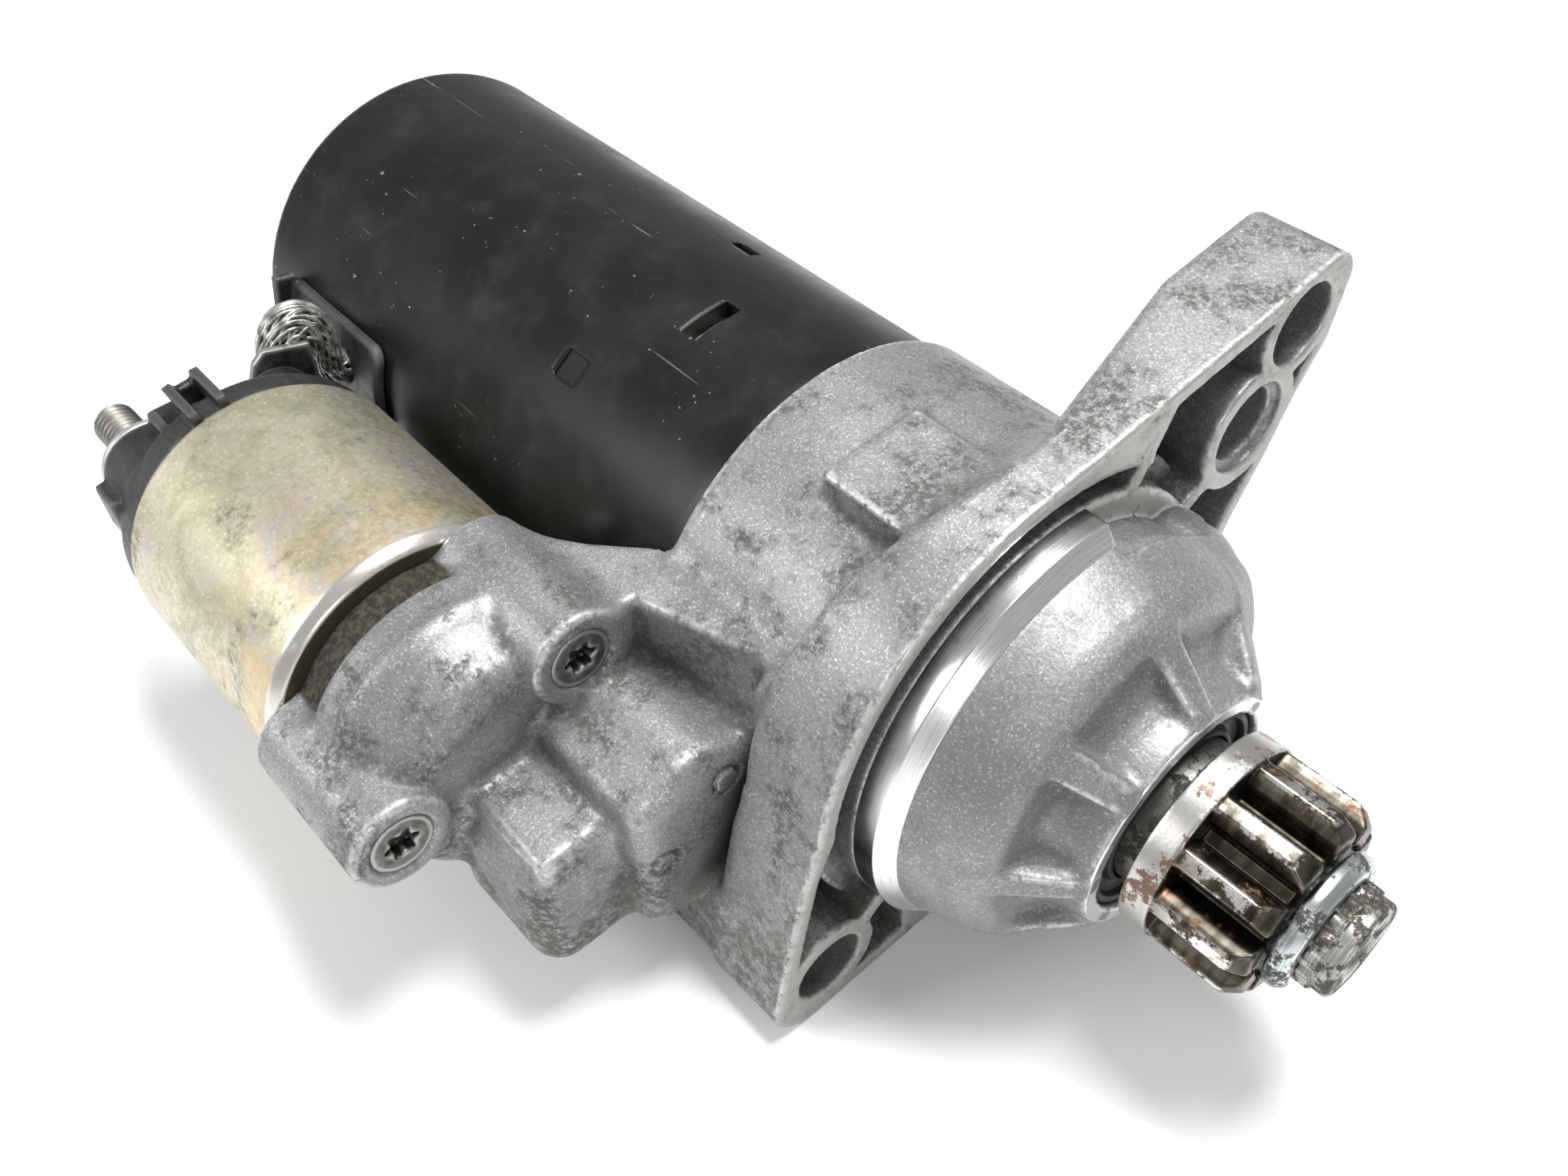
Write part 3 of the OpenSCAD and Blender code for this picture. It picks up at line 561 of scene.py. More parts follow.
def rgb(r, g, b):
    return (r, g, b, 1)


def grey(v):
    return (v, v, v * 0.99, 1)


def cast_aluminium():
    """Sand-blasted, grey and dirty behind the flange, cleaner on the nose, with a fine sparkle of painted
    glints and painted shade in hollows, pockets and the gap at the can.
    """
    look = Look("cast_aluminium", metallic=0.6, roughness=0.45)
    grain = look.noise(0.5, 3, 0.65)
    speck_and_glint = look.cells(0.22)
    patches = look.noise(11, 7, 0.68)
    look.base = look.mix(look.ramp(grain, 0.30, 0.72), grey(0.19), grey(0.30))
    look.over(look.clouds(22, 4, 0.55, 0.38, 0.66), rgb(0.15, 0.152, 0.154), 0.55)
    # painted glints: bright specks laid over the colour; the same cells also give a fine bump
    look.over(look.ramp(speck_and_glint, 0.86, 1.0), grey(0.8), 0.35)
    behind = look.below(look.axis("X"), 0.0, 0.004)
    grime = look.times(look.ramp(patches, 0.46, 0.60), look.clouds(1.1, 6, 0.78, 0.42, 0.56))
    grime = look.times(grime, look.blend(behind, 0.18, 0.85))
    look.over(grime, rgb(0.052, 0.049, 0.041))
    # painted shade in the concave creases, broken up by noise, stronger behind the flange
    hollow = look.times(look.bend("hollow", -0.02, -0.14), look.clouds(1.6, 5, 0.7, 0.26, 0.56))
    look.over(look.times(hollow, look.blend(behind, 0.4, 0.85)), rgb(0.055, 0.053, 0.048))
    # painted shade deep in the pockets and recesses behind the flange
    deep = look.math("SUBTRACT", 1.0, look.bend("deep", -0.30, -0.10))
    look.over(look.times(deep, behind), rgb(0.035, 0.034, 0.031), 0.85)
    # darker and browner towards the bottom, behind the flange, in patches
    low = look.times(look.below(look.axis("Z"), -0.026, 0.004), behind)
    low = look.times(low, look.clouds(2.2, 6, 0.75, 0.40, 0.60))
    look.over(low, rgb(0.085, 0.078, 0.062), 0.75)
    worn = look.times(look.bend("edge", 0.10, 0.30), look.clouds(1.3, 4, 0.7, 0.36, 0.56))
    look.over(worn, grey(0.60), 0.7)
    # milled front of the rim, ribs and bolt bosses
    front = look.below(look.math("ABSOLUTE", look.axis("X"), 0.0), 0.00025, 0.0005)
    cut = look.times(front, look.clouds(3, 5, 0.7, 0.30, 0.46))
    look.over(cut, rgb(0.36, 0.355, 0.335), 0.85)
    # dirt and painted shadow in the gap at the can's neck, between the bosses
    neck = look.times(look.below(look.from_axis(CAN_Y), 0.0230, 0.0236),
                      look.below(look.axis("X"), -0.0652, -0.0648))
    gap_dirt_and_shadow = look.clouds(1.1, 5, 0.75, 0.42, 0.6)
    look.over(neck, look.mix(gap_dirt_and_shadow, rgb(0.010, 0.008, 0.005), rgb(0.050, 0.041, 0.028)))
    look.colour()
    dull = look.math("MAXIMUM", look.math("MAXIMUM", grime, hollow), look.math("MAXIMUM", low, neck))
    look.metallic(look.blend(dull, 0.62, 0.12))
    look.roughness(look.blend(dull, look.blend(worn, 0.45, 0.3), 0.8))
    look.bump(grain, 0.09, 0.5)
    look.bump(speck_and_glint, 0.04, 0.3)
    look.bump(look.noise(3.2, 3, 0.5), 0.22, 0.3)
    return look.material


def machined_face():
    """Milled cast surface: pale, fine circular lines, dark pores."""
    look = Look("milled_aluminium", metallic=0.85, roughness=0.33)
    ring = look.node("ShaderNodeTexWave", wave_type="RINGS", rings_direction="X")
    look.tune(ring, {"Scale": 900, "Distortion": 1.0})
    look.link(look.place, ring.inputs["Vector"])
    pores = look.clouds(0.7, 3, 0.6, 0.66, 0.72)
    look.base = look.mix(look.times(ring.outputs["Fac"], 0.4), grey(0.72), grey(0.50))
    look.over(look.clouds(4, 5, 0.7, 0.45, 0.7), rgb(0.30, 0.29, 0.26), 0.55)
    look.over(pores, grey(0.08))
    look.colour()
    look.bump(ring.outputs["Fac"], 0.01, 0.4)
    return look.material


def turned_metal(name, light, dark, rough, stain, cover_from, metallic=1.0, edge_light=None):
    """Machined metal with fine lines round the X axis, and stains."""
    look = Look(name, metallic=metallic, roughness=rough)
    lines = look.noise(7, 2, 0.5, place=look.stretched((70, 1, 1)))
    look.base = look.mix(look.ramp(lines, 0.3, 0.7), dark, light)
    broad = look.noise(14, 3, 0.5)
    look.over(look.ramp(broad, 0.35, 0.65), dark, 0.35)
    cover = look.times(look.clouds(5, 7, 0.7, cover_from, cover_from + 0.05),
                       look.clouds(0.7, 4, 0.7, 0.30, 0.50))
    look.over(cover, stain)
    if edge_light:
        look.over(look.bend("edge", 0.05, 0.25), edge_light)
    look.colour()
    look.metallic(look.blend(cover, metallic, 0.25))
    look.roughness(look.blend(cover, look.blend(look.ramp(broad, 0.3, 0.7), rough, rough + 0.12), 0.72))
    look.bump(lines, 0.015, 0.5)
    look.bump(cover, 0.02, 0.5)
    return look.material


def pinion_steel():
    """Hardened steel: dark oily flanks with painted shade towards the roots, polished tips, brown and
    orange stains.
    """
    look = Look("pinion_steel", metallic=1.0, roughness=0.32)
    lines = look.noise(5, 2, 0.5, place=look.stretched((3, 1, 1)))
    look.base = look.mix(look.ramp(lines, 0.3, 0.7), rgb(0.032, 0.028, 0.021), rgb(0.105, 0.095, 0.076))
    radius = look.from_axis()
    tip = look.ramp(radius, 0.01585, 0.01635)
    front = look.ramp(look.axis("X"), 0.034, 0.044)
    bright = look.times(tip, look.clouds(5, 6, 0.7, 0.48, 0.53))
    bright = look.times(bright, look.blend(front, 0.15, 1.0))
    look.over(bright, rgb(0.66, 0.64, 0.60))
    rust = look.times(look.clouds(4, 6, 0.7, 0.56, 0.66), look.clouds(0.8, 4, 0.7, 0.4, 0.55))
    look.over(rust, rgb(0.20, 0.085, 0.035), 0.8)
    sheen = look.times(look.clouds(6, 3, 0.5, 0.60, 0.70), 0.6)
    look.over(sheen, rgb(0.26, 0.15, 0.09))
    collar = look.below(look.axis("X"), 0.0357, 0.0361)
    scale = look.clouds(6, 7, 0.72, 0.53, 0.56)
    clean = look.times(look.ramp(lines, 0.3, 0.7), 0.5)
    clean = look.mix(clean, rgb(0.50, 0.49, 0.46), rgb(0.38, 0.37, 0.35))
    clean = look.mix(scale, clean, rgb(0.13, 0.075, 0.05))
    look.over(collar, clean)
    # painted shade towards the tooth roots, broken up by noise
    deep = look.times(look.below(radius, 0.0118, 0.0142),
                      look.clouds(2, 5, 0.7, 0.35, 0.6))
    look.over(deep, rgb(0.055, 0.045, 0.035), 0.75)
    worn = look.times(look.bend("edge", 0.12, 0.35), look.clouds(2, 4, 0.7, 0.42, 0.6), 0.5)
    look.over(worn, rgb(0.34, 0.32, 0.28))
    look.colour()
    look.metallic(look.blend(look.math("MAXIMUM", rust, look.times(collar, scale)), 1.0, 0.35))
    look.roughness(look.blend(bright, look.blend(rust, 0.34, 0.62), 0.22))
    look.bump(look.noise(0.6, 4, 0.65), 0.05, 0.4)
    return look.material


def black_paint():
    """Satin black paint with scratches, chips and a worn rear rim."""
    look = Look("black_paint", metallic=0.0, roughness=0.36, specular=0.26)
    mottled = look.noise(18, 5, 0.6)
    black, worn_black = rgb(0.0045, 0.0045, 0.005), rgb(0.009, 0.0095, 0.010)
    look.base = look.mix(look.ramp(mottled, 0.35, 0.7), black, worn_black)
    dust = look.times(look.clouds(9, 6, 0.7, 0.5, 0.75), 0.3)
    look.over(dust, rgb(0.03, 0.03, 0.029))
    chips = look.times(look.clouds(1.3, 3, 0.6, 0.70, 0.72), look.clouds(20, 2, 0.5, 0.50, 0.56))
    scratch = None
    for tilt, turn, size in ((0.5, 0.9, 0.9), (-0.7, 0.3, 1.1), (1.2, -0.5, 1.0)):
        place = look.stretched((0.03, 1, 1), (tilt, 0.0, turn))
        line = look.ramp(look.noise(size, 1, 0.4, place=place), 0.76, 0.775)
        scratch = line if scratch is None else look.math("MAXIMUM", scratch, line)
    scratch = look.times(scratch, look.clouds(20, 2, 0.5, 0.48, 0.6))
    look.over(scratch, rgb(0.14, 0.145, 0.15), 0.7)
    rim = look.below(look.axis("X"), -0.1713, -0.1705)
    rim = look.times(rim, look.clouds(2, 5, 0.7, 0.38, 0.5))
    worn = look.math("MAXIMUM", chips, rim)
    look.over(worn, rgb(0.42, 0.42, 0.41))
    look.colour()
    look.metallic(look.times(worn, 0.8))
    look.roughness(look.blend(look.ramp(mottled, 0.3, 0.7), 0.30, 0.44))
    look.bump(look.noise(0.7, 3, 0.5), 0.02, 0.3)
    look.bump(look.math("SUBTRACT", 1.0, worn), 0.05, 0.5)
    return look.material


def chromate():
    """Yellow zinc-chromate plating with iridescent clouds, dark stains, painted glints, a painted
    highlight on the front edge and dirt with painted shadow at the neck.
    """
    look = Look("plated_can", metallic=0.9, roughness=0.42)
    cloud = look.noise(13, 4, 0.55, distortion=0.8)
    ramp = look.node("ShaderNodeValToRGB")
    look.link(cloud, ramp.inputs["Fac"])
    stops = [(0.30, rgb(0.36, 0.355, 0.27)), (0.42, rgb(0.47, 0.44, 0.31)), (0.50, rgb(0.55, 0.525, 0.40)),
             (0.57, rgb(0.56, 0.49, 0.38)), (0.64, rgb(0.52, 0.48, 0.47)), (0.72, rgb(0.44, 0.47, 0.43))]
    ramp.color_ramp.elements[0].position, ramp.color_ramp.elements[0].color = stops[0]
    ramp.color_ramp.elements[1].position, ramp.color_ramp.elements[1].color = stops[-1]
    for position, tint in stops[1:-1]:
        ramp.color_ramp.elements.new(position).color = tint
    look.base = ramp.outputs["Color"]
    mottle = look.noise(1.3, 6, 0.75)
    look.over(look.ramp(mottle, 0.42, 0.7), rgb(0.27, 0.26, 0.20), 0.45)
    # painted glints: bright specks laid over the plating's colour
    painted_glint = look.ramp(look.cells(0.4), 0.84, 1.0)
    look.over(painted_glint, rgb(0.85, 0.82, 0.68), 0.35)
    warm = look.ramp(look.axis("X"), -0.098, -0.078)
    look.over(look.times(warm, look.clouds(9, 3, 0.5, 0.40, 0.62)), rgb(0.60, 0.47, 0.27), 0.6)
    pink = look.times(look.ramp(look.axis("X"), -0.105, -0.085), look.clouds(12, 3, 0.5, 0.56, 0.68))
    look.over(pink, rgb(0.52, 0.42, 0.46), 0.55)
    stains = look.times(look.clouds(14, 5, 0.65, 0.54, 0.66), look.clouds(1.2, 5, 0.75, 0.40, 0.58))
    look.over(stains, rgb(0.085, 0.085, 0.065), 0.8)
    radius = look.from_axis(CAN_Y)
    # painted highlight on the can's rounded front edge
    lip = look.times(look.ramp(look.axis("X"), -0.0742, -0.0736), look.ramp(radius, 0.0249, 0.0252))
    look.over(lip, rgb(0.66, 0.65, 0.63), 0.75)
    # dirt and painted shadow on the neck, in the gap against the hood
    neck = look.below(radius, 0.0248, 0.0250)
    look.over(neck, rgb(0.05, 0.041, 0.027))
    look.colour()
    look.metallic(look.blend(look.math("MAXIMUM", look.times(stains, 0.8), neck), 0.9, 0.3))
    look.roughness(look.blend(lip, look.blend(look.ramp(mottle, 0.3, 0.7), 0.36, 0.56), 0.25))
    look.bump(mottle, 0.05, 0.4)
    return look.material


def plain_look(name, light, dark, metallic=0.0, rough=0.5, grain_mm=0.6, patch_mm=6, bump_mm=0.04,
               worn=None, dust=None):
    """Two-tone surface with a fine grain, worn edges and dusty patches."""
    look = Look(name, metallic=metallic, roughness=rough)
    grain = look.noise(grain_mm, 3, 0.6)
    patch = look.noise(patch_mm, 5, 0.65)
    look.base = look.mix(look.ramp(patch, 0.35, 0.68), dark, light)
    look.over(look.ramp(grain, 0.4, 0.7), dark, 0.3)
    if dust:
        look.over(look.clouds(patch_mm * 0.6, 6, 0.7, 0.5, 0.68), dust, 0.6)
    if worn:
        look.over(look.bend("edge", 0.08, 0.3), worn, 0.8)
    look.colour()
    look.roughness(look.blend(look.ramp(patch, 0.3, 0.7), max(rough - 0.1, 0.05), min(rough + 0.1, 1)))
    look.bump(grain, bump_mm, 0.5)
    return look.material


def make_materials():
    oil = rgb(0.05, 0.045, 0.035)
    stain = rgb(0.05, 0.05, 0.04)
    plastic_dust = rgb(0.04, 0.038, 0.034)
    # name, light, dark, metallic, roughness, grain, patches, bump, worn edges and dust
    plain = (("black_plastic", grey(0.018), grey(0.009), 0, 0.48, 0.3, 7, 0.03, grey(0.06), plastic_dust),
             ("cream_plastic", rgb(0.72, 0.68, 0.56), rgb(0.60, 0.55, 0.42), 0, 0.45),
             ("dark_steel", rgb(0.15, 0.145, 0.14), rgb(0.05, 0.047, 0.043), 0.8, 0.42, 0.4, 4, 0.03,
              rgb(0.40, 0.39, 0.37)),
             ("bronze", rgb(0.62, 0.42, 0.2), rgb(0.42, 0.27, 0.12), 0.9, 0.4),
             ("copper", rgb(0.72, 0.33, 0.15), rgb(0.45, 0.18, 0.08), 0.9, 0.35),
             ("carbon", rgb(0.09, 0.075, 0.065), rgb(0.04, 0.035, 0.035), 0.2, 0.6),
             ("ferrite", rgb(0.16, 0.16, 0.17), rgb(0.08, 0.08, 0.085), 0.1, 0.65),
             ("rubber", grey(0.016), grey(0.008), 0, 0.55, 0.5, 5, 0.04, grey(0.07), plastic_dust),
             ("tinned_copper", rgb(0.62, 0.63, 0.58), rgb(0.15, 0.155, 0.135), 0.7, 0.4, 0.4, 2.6, 0.02))
    made = {row[0]: plain_look(*row) for row in plain}
    made.update({
        "cast_aluminium": cast_aluminium(),
        "milled": machined_face(),
        "machined": turned_metal("machined_aluminium", grey(0.88), grey(0.60), 0.16, grey(0.22), 0.70),
        "black_paint": black_paint(),
        "plated_can": chromate(),
        "steel": turned_metal("steel", rgb(0.50, 0.49, 0.46), rgb(0.24, 0.235, 0.215), 0.32, oil, 0.46),
        "pinion": pinion_steel(),
        "zinc_steel": turned_metal("zinc_steel", rgb(0.62, 0.66, 0.66), rgb(0.34, 0.38, 0.39), 0.26,
                                   stain, 0.51, 1.0, rgb(0.85, 0.87, 0.86)),
        "stud": turned_metal("stud_steel", rgb(0.34, 0.33, 0.30), rgb(0.16, 0.155, 0.14), 0.36,
                             stain, 0.66, 0.9, rgb(0.52, 0.51, 0.48))})
    return made


def paint_nodes():
    """Gives every CAD node the look of its record slot."""
    slots = {row["node"]: row["material_slot"] for row in frame["record"]["subparts"]}
    for name, piece in nodes.items():
        piece.data.materials.clear()
        piece.data.materials.append(looks[slots[name]])


# --- places round the shaft

def polar(radius, angle, y=0.0):
    """(y, z) at an angle in degrees round a line parallel to the shaft."""
    a = math.radians(angle)
    return y + radius * math.cos(a), radius * math.sin(a)


def screw_places():
    return [polar(SCREW_RING, angle, CAN_Y) for angle in SCREW_ANGLES]


def gap_field(f):
    """Negative in the angle where the spigot ring is missing."""
    return slab(np.degrees(np.arctan2(f.z, f.y)), *SPIGOT_GAP)


# --- drive end housing

def upper_ear(inset):
    return ([(0, RIM_R - inset), (45, 50.2 - inset)] + corner_arc((61.2, 46.2), 6 - inset, 80, 0)
            + [(65.2 - inset, 35), (59.4 - inset, 26), (55.2 - inset, 16.5), (49.8 - inset, 7),
               (43.5 - inset, -8), (0, 0)])


def lower_ear(inset):
    return ([(-RIM_R + inset, 4), (-48 + inset, -3), (-51 + inset, -15)]
            + corner_arc((-47, -33.5), 8 - inset, 172, 270) + [(16, FOOT_Z + inset), (0, 0)])


def flange(f):
    """The rim and the two ears, thin in the middle and thick at the ears."""
    y, z = f.y[0], f.z[0]
    flat = fuse(np.hypot(y, z) - RIM_R, outline(y, z, upper_ear(0)), 2.0)
    flat = fuse(flat, outline(y, z, lower_ear(0)), 2.0)
    flat = np.maximum(flat, FOOT_Z - z)
    back = np.interp(f.y[0, :, 0], [-38, -4, 6, 42], [-17, -9, -9, -17]).astype(np.float32)
    solid = meet(flat[None], (back[None, :, None] - f.x) * 0.97, 1.6)
    return meet(solid, f.x, 0.5)


def flange_pockets(f):
    """The hollow ears and the channel inside the rim, less the bolt bosses and the ribs between them."""
    y, z = f.y[0], f.z[0]
    upper = np.maximum(outline(y, z, upper_ear(RIM_WALL)), 22 - y)
    lower = np.maximum(outline(y, z, lower_ear(RIM_WALL)), y + 27)
    ears = np.minimum(upper, lower)
    rho = np.hypot(y, z)
    boss_up, boss_low, ear_boss = (np.hypot(y - place[0], z - place[1])
                                   for place in (HOLE_UP, HOLE_LOW, POCKET_UP))
    keep = join(boss_up - 11.2, boss_low - 9.6, ear_boss - 9.6)
    for angle, reach in ((29, 46), (62, 60), (215, 52)):
        along, across = (u[0] for u in f.turned_about(angle))
        keep = fuse(keep, np.maximum(np.abs(across) - 1.5, slab(along, 38, reach)), 1.5)
    deep = soft_max(ears, -np.minimum(keep, rho - 42.3), 1.0)
    deep = soft_max(deep[None], slab(f.x, -12, 3), 1.0)
    ring = cut(join(rho - (RIM_R - RIM_WALL), ears), join(keep, rho - SPIGOT_R))
    ring = soft_max(ring[None], slab(f.x, -5, 3), 0.8)
    well = soft_max((ear_boss - 7)[None], slab(f.x, -9, 3), 1.0)
    return join(deep, ring, well)


def nose(f):
    """Shoulder and neck in front of the spigot, ribs between them, swelling beside the ear."""
    shoulder = f.turned([(-4, 36), (6.2, 36), (10, 34.8), (14.5, 33.2), (16.5, 32.2), (18.8, 30.8)], 2.2)
    neck = f.turned([(-4, 30), (16, 30), (18.0, 28.2), (19.4, 24.4), (21.4, 22.2), (24, 21.1),
                     (28.4, 20.4)], 0.4)
    body = fuse(shoulder, neck, 2.2)
    cone = f.turned([(10, 33), (14.5, 33.0), (18, 31.0), (21.3, 27.7), (24.2, 25.0), (26.3, 23.0),
                     (27.9, 21.6)], 1.2)
    for k in range(NOSE_RIBS):
        along, across = f.turned_about(NOSE_RIB_ANGLE + 360 * k / NOSE_RIBS)
        # each rib is wider at its foot
        rib = meet(cone, np.abs(across) - 2.1 - 0.07 * (28.4 - f.x), 0.8)
        body = fuse(body, meet(rib, 5 - along, 0.2), 1.5)
    swell = fuse(f.drum(-4, 9.5, 9.3, 25.5, 13, 3), f.cone(8, 15, 8.5, 6, 25.5, 13, 2), 2)
    body = fuse(body, swell, 5)
    # the wall steps in where the spigot ring stops short
    step = soft_max(soft_max(gap_field(f) * 0.5, 33.6 - f.rho(), 1.0), slab(f.x, -9, 7.6), 1.0)
    step = np.maximum(step, 10.8 - np.hypot(f.y - 25.5, f.z - 13))
    return soft_max(body, -step, 1.0)


def case_behind(f):
    """The casting behind the flange: sleeve, web, solenoid hood, screw bosses and lever box."""
    sleeve = f.drum(YOKE_X1, -3, SLEEVE_R, soft=0.8)
    sleeve = fuse(sleeve, f.cone(-16, -9, SLEEVE_R - 0.6, RIM_R - 1.5), 3)
    pad = f.box((-29, -17, 30), (-6, 2.5, 40.9), 0.8)
    sleeve = fuse(sleeve, pad, 1.5)
    # the web between the motor and the solenoid
    web = f.prism_z([(-12, -10), (-44, -10), (-44, -27.5), (-51, -33.5), (-58, -39.5), (-66, -44.8),
                     (-71, -48), (-71, -56), (-44, -56), (-43.3, -41.8), (-20, -34.8), (-12, -33.5)],
                    -22, 21.4, 1.5)
    # the hood over the plunger, with a boss for each screw
    barrel = fuse(f.drum(-65, -57, 24.6, CAN_Y, 0, 1.6), f.cone(-58, -45.5, 25, 19, CAN_Y, 0, 3.0), 3)
    hood = fuse(f.drum(CAN_X1, -60, 22.6, CAN_Y, 0, 0.6), barrel, 0.8)
    for y, z in screw_places():
        hood = fuse(hood, f.drum(CAN_X1, SCREW_FACE, 8.4, y, z, 1.0), 2.0)
    shape = fuse(fuse(sleeve, web, 3.0), hood, 3.0)
    # the box over the lever, in two steps
    dome = fuse(f.box((-52, -77.8, -27), (-25.8, -53.6, -3.5), 5.5),
                f.box((-52, -75.0, -20), (-26.2, -53.2, 1.7), 2.2), 3.0)
    lever = fuse(f.box((-50, -62, -23.5), (-20, -33, 7.4), 3.0),
                 f.drum(-50, -20.5, 11, -49.5, -0.6, 3.0), 2.5)
    low = fuse(dome, lever, 3.6)
    shape = fuse(shape, low, 2.2)
    # the stiffening rib down to the lower ear
    rib = fuse(f.box((-36, -53.5, -39), (-12, -44, -18), 2.5),
               f.box((-40, -46, -40), (-12, -20, -18), 2.5), 3)
    shape = fuse(shape, rib, 2.5)
    wall_end = f.drum(-20, -10, 3.5, -36.5, 17.5, 2)
    return fuse(shape, wall_end, 3)


def case_hollow(f, outside):
    """Room for the gears, clutch, fork, lever and plunger, kept inside the skin."""
    gears = f.turned([(-51, 31), (-46, 31), (-45.9, 36), (-13, 36), (-7, 30), (5, 27), (11, 24),
                      (11.3, 17.7), (29.5, 17.7)])
    gears = cut(gears, *(f.drum(-52, YOKE_X1 + 10, 4.6, *polar(BOLT_RING + 1, angle))
                         for angle in BOLT_ANGLES))
    fork = f.box((-50.5, -35.2, -18.8), (-27, 0, 18.8))
    lever = join(f.box((-49.5, -50, -7.4), (-28, -35, 5)), f.box((-49.6, CAN_Y, -7.5), (-28, -49, -0.9)))
    plunger = join(np.maximum(f.drum(-50, -28.1, 7.6, CAN_Y), f.z + 0.8),
                   f.drum(CAN_X1 - 2, -47, 13, CAN_Y))
    pin = np.maximum(np.hypot(f.x + 38, f.y + 40) - 3, slab(f.z, -26, 6.2))
    room = np.maximum(join(gears, fork, lever, plunger, pin), outside + SKIN)
    room = join(room, f.drum(YOKE_X1 - 6, YOKE_X1 + 3, 31), f.drum(10, 29.5, 17.7))
    for y, z in screw_places():
        room = join(room, f.drum(CAN_X1 - 2, SCREW_FACE + 1, 2.75, y, z),
                    f.cone(SCREW_FACE - 3, SCREW_FACE + 0.6, 2.75, 6.3, y, z))
    return join(room, *(f.drum(-60, YOKE_X1 + 8, 2.4, *polar(BOLT_RING, angle)) for angle in BOLT_ANGLES))


def make_housing():
    f = Field((-73, -97, -43), (30.5, 68, 54), 0.6)
    shape = fuse(flange(f), case_behind(f), 1.6)
    shape = np.maximum(cut(shape, flange_pockets(f)), FOOT_Z - f.z)
    # seat of the motor body, and the spigot under its machined ring
    shape = cut(shape, f.drum(-90, YOKE_X1, YOKE_R + 0.8))
    shape = join(shape, f.drum(YOKE_X1 - 3.8, YOKE_X1 + 1, FIT_R), nose(f),
                 cut(f.drum(-5, 4.5, 36.9), gap_field(f)))
    shape = cut(shape, case_hollow(f, shape))
    shape = cut(shape, *(f.drum(-70, 3, BOLT_R, *hole) for hole in (HOLE_UP, HOLE_LOW)),
                f.drum(-1.5, 2, BOLT_R + 1.5, *HOLE_UP))
    # crescent marks of the ejector pins
    for x, y, z in ((-20.2, -45.5, 3.0), (-20.2, -58.0, -6.5)):
        mark = np.abs(np.hypot(f.y - y, f.z - z) - 2.4) - 0.35
        shape = cut(shape, np.maximum(mark, slab(f.x, x - 0.5, x + 2)))
    add_field_piece("housing_casting", f, shape, "cast_aluminium", ("drive_end_housing",))


def make_spigot():
    """The machined ring: a thin rear lip, a groove, the locating band and its chamfer."""
    profile = [(-4.9, 36.5), (-4.9, 38.1), (-1.3, 38.1), (-1.2, 37.2), (-0.3, 37.2), (-0.2, SPIGOT_R),
               (3.9, SPIGOT_R), (6.5, 36.1), (6.5, 34.8), (5.5, 34.5)]
    ring = add_turned("spigot_ring", profile, "machined", soft=0.18)
    middle, half = sum(SPIGOT_GAP) / 2, (SPIGOT_GAP[1] - SPIGOT_GAP[0]) / 2
    width = SPIGOT_R * 2 * math.sin(math.radians(half / 2)) + 0.4
    cut_boxes(ring, [((1, SPIGOT_R, 0), (14, 14, width), middle - half / 2),
                     ((1, SPIGOT_R, 0), (14, 14, width), middle + half / 2)])
    lip = [(28.2, 18.0), (28.2, 20.4), (28.55, 20.2), (28.55, 18.2)]
    add_turned("nose_front_face", lip, "milled", soft=0.12)


# --- motor body

def make_yoke():
    """The painted tube, with two punched slots, a staked mark and the lead's way out."""
    count = 42
    places = [YOKE_X0 + (YOKE_X1 - YOKE_X0) * k / count for k in range(count + 1)]
    profile = [(x, YOKE_R) for x in places] + [(x, YOKE_R - 3) for x in reversed(places)]
    yoke = add_turned("yoke_painted", profile, "black_paint", ("yoke",), soft=0.7, sides=240)
    cut_boxes(yoke, [((-69.5, -3.25, 36), (3.4, 9.5, 8), 0), ((-84.2, 0, 36), (5, 2.4, 8), -25.6),
                     ((-83.5, 0, 39.2), (5, 5, 3.2), 36), ((-139.5, 0, 36), (13, 10, 8), LEAD_ANGLE - 90)])


# --- solenoid

def make_can():
    profile = [(CAN_X0, CAN_R), (-100, CAN_R), (-76, CAN_R), (-73.4, CAN_R), (CAN_X1, 25.2),
               (CAN_X1, 23.6), (CAN_X1, 9.2), (-75.5, 9.2), (-75.5, 23.6), (CAN_X0, 24.7)]
    add_turned("solenoid_can_plated", profile, "plated_can", ("solenoid_can",),
               y=CAN_Y, soft=0.6, sides=256)


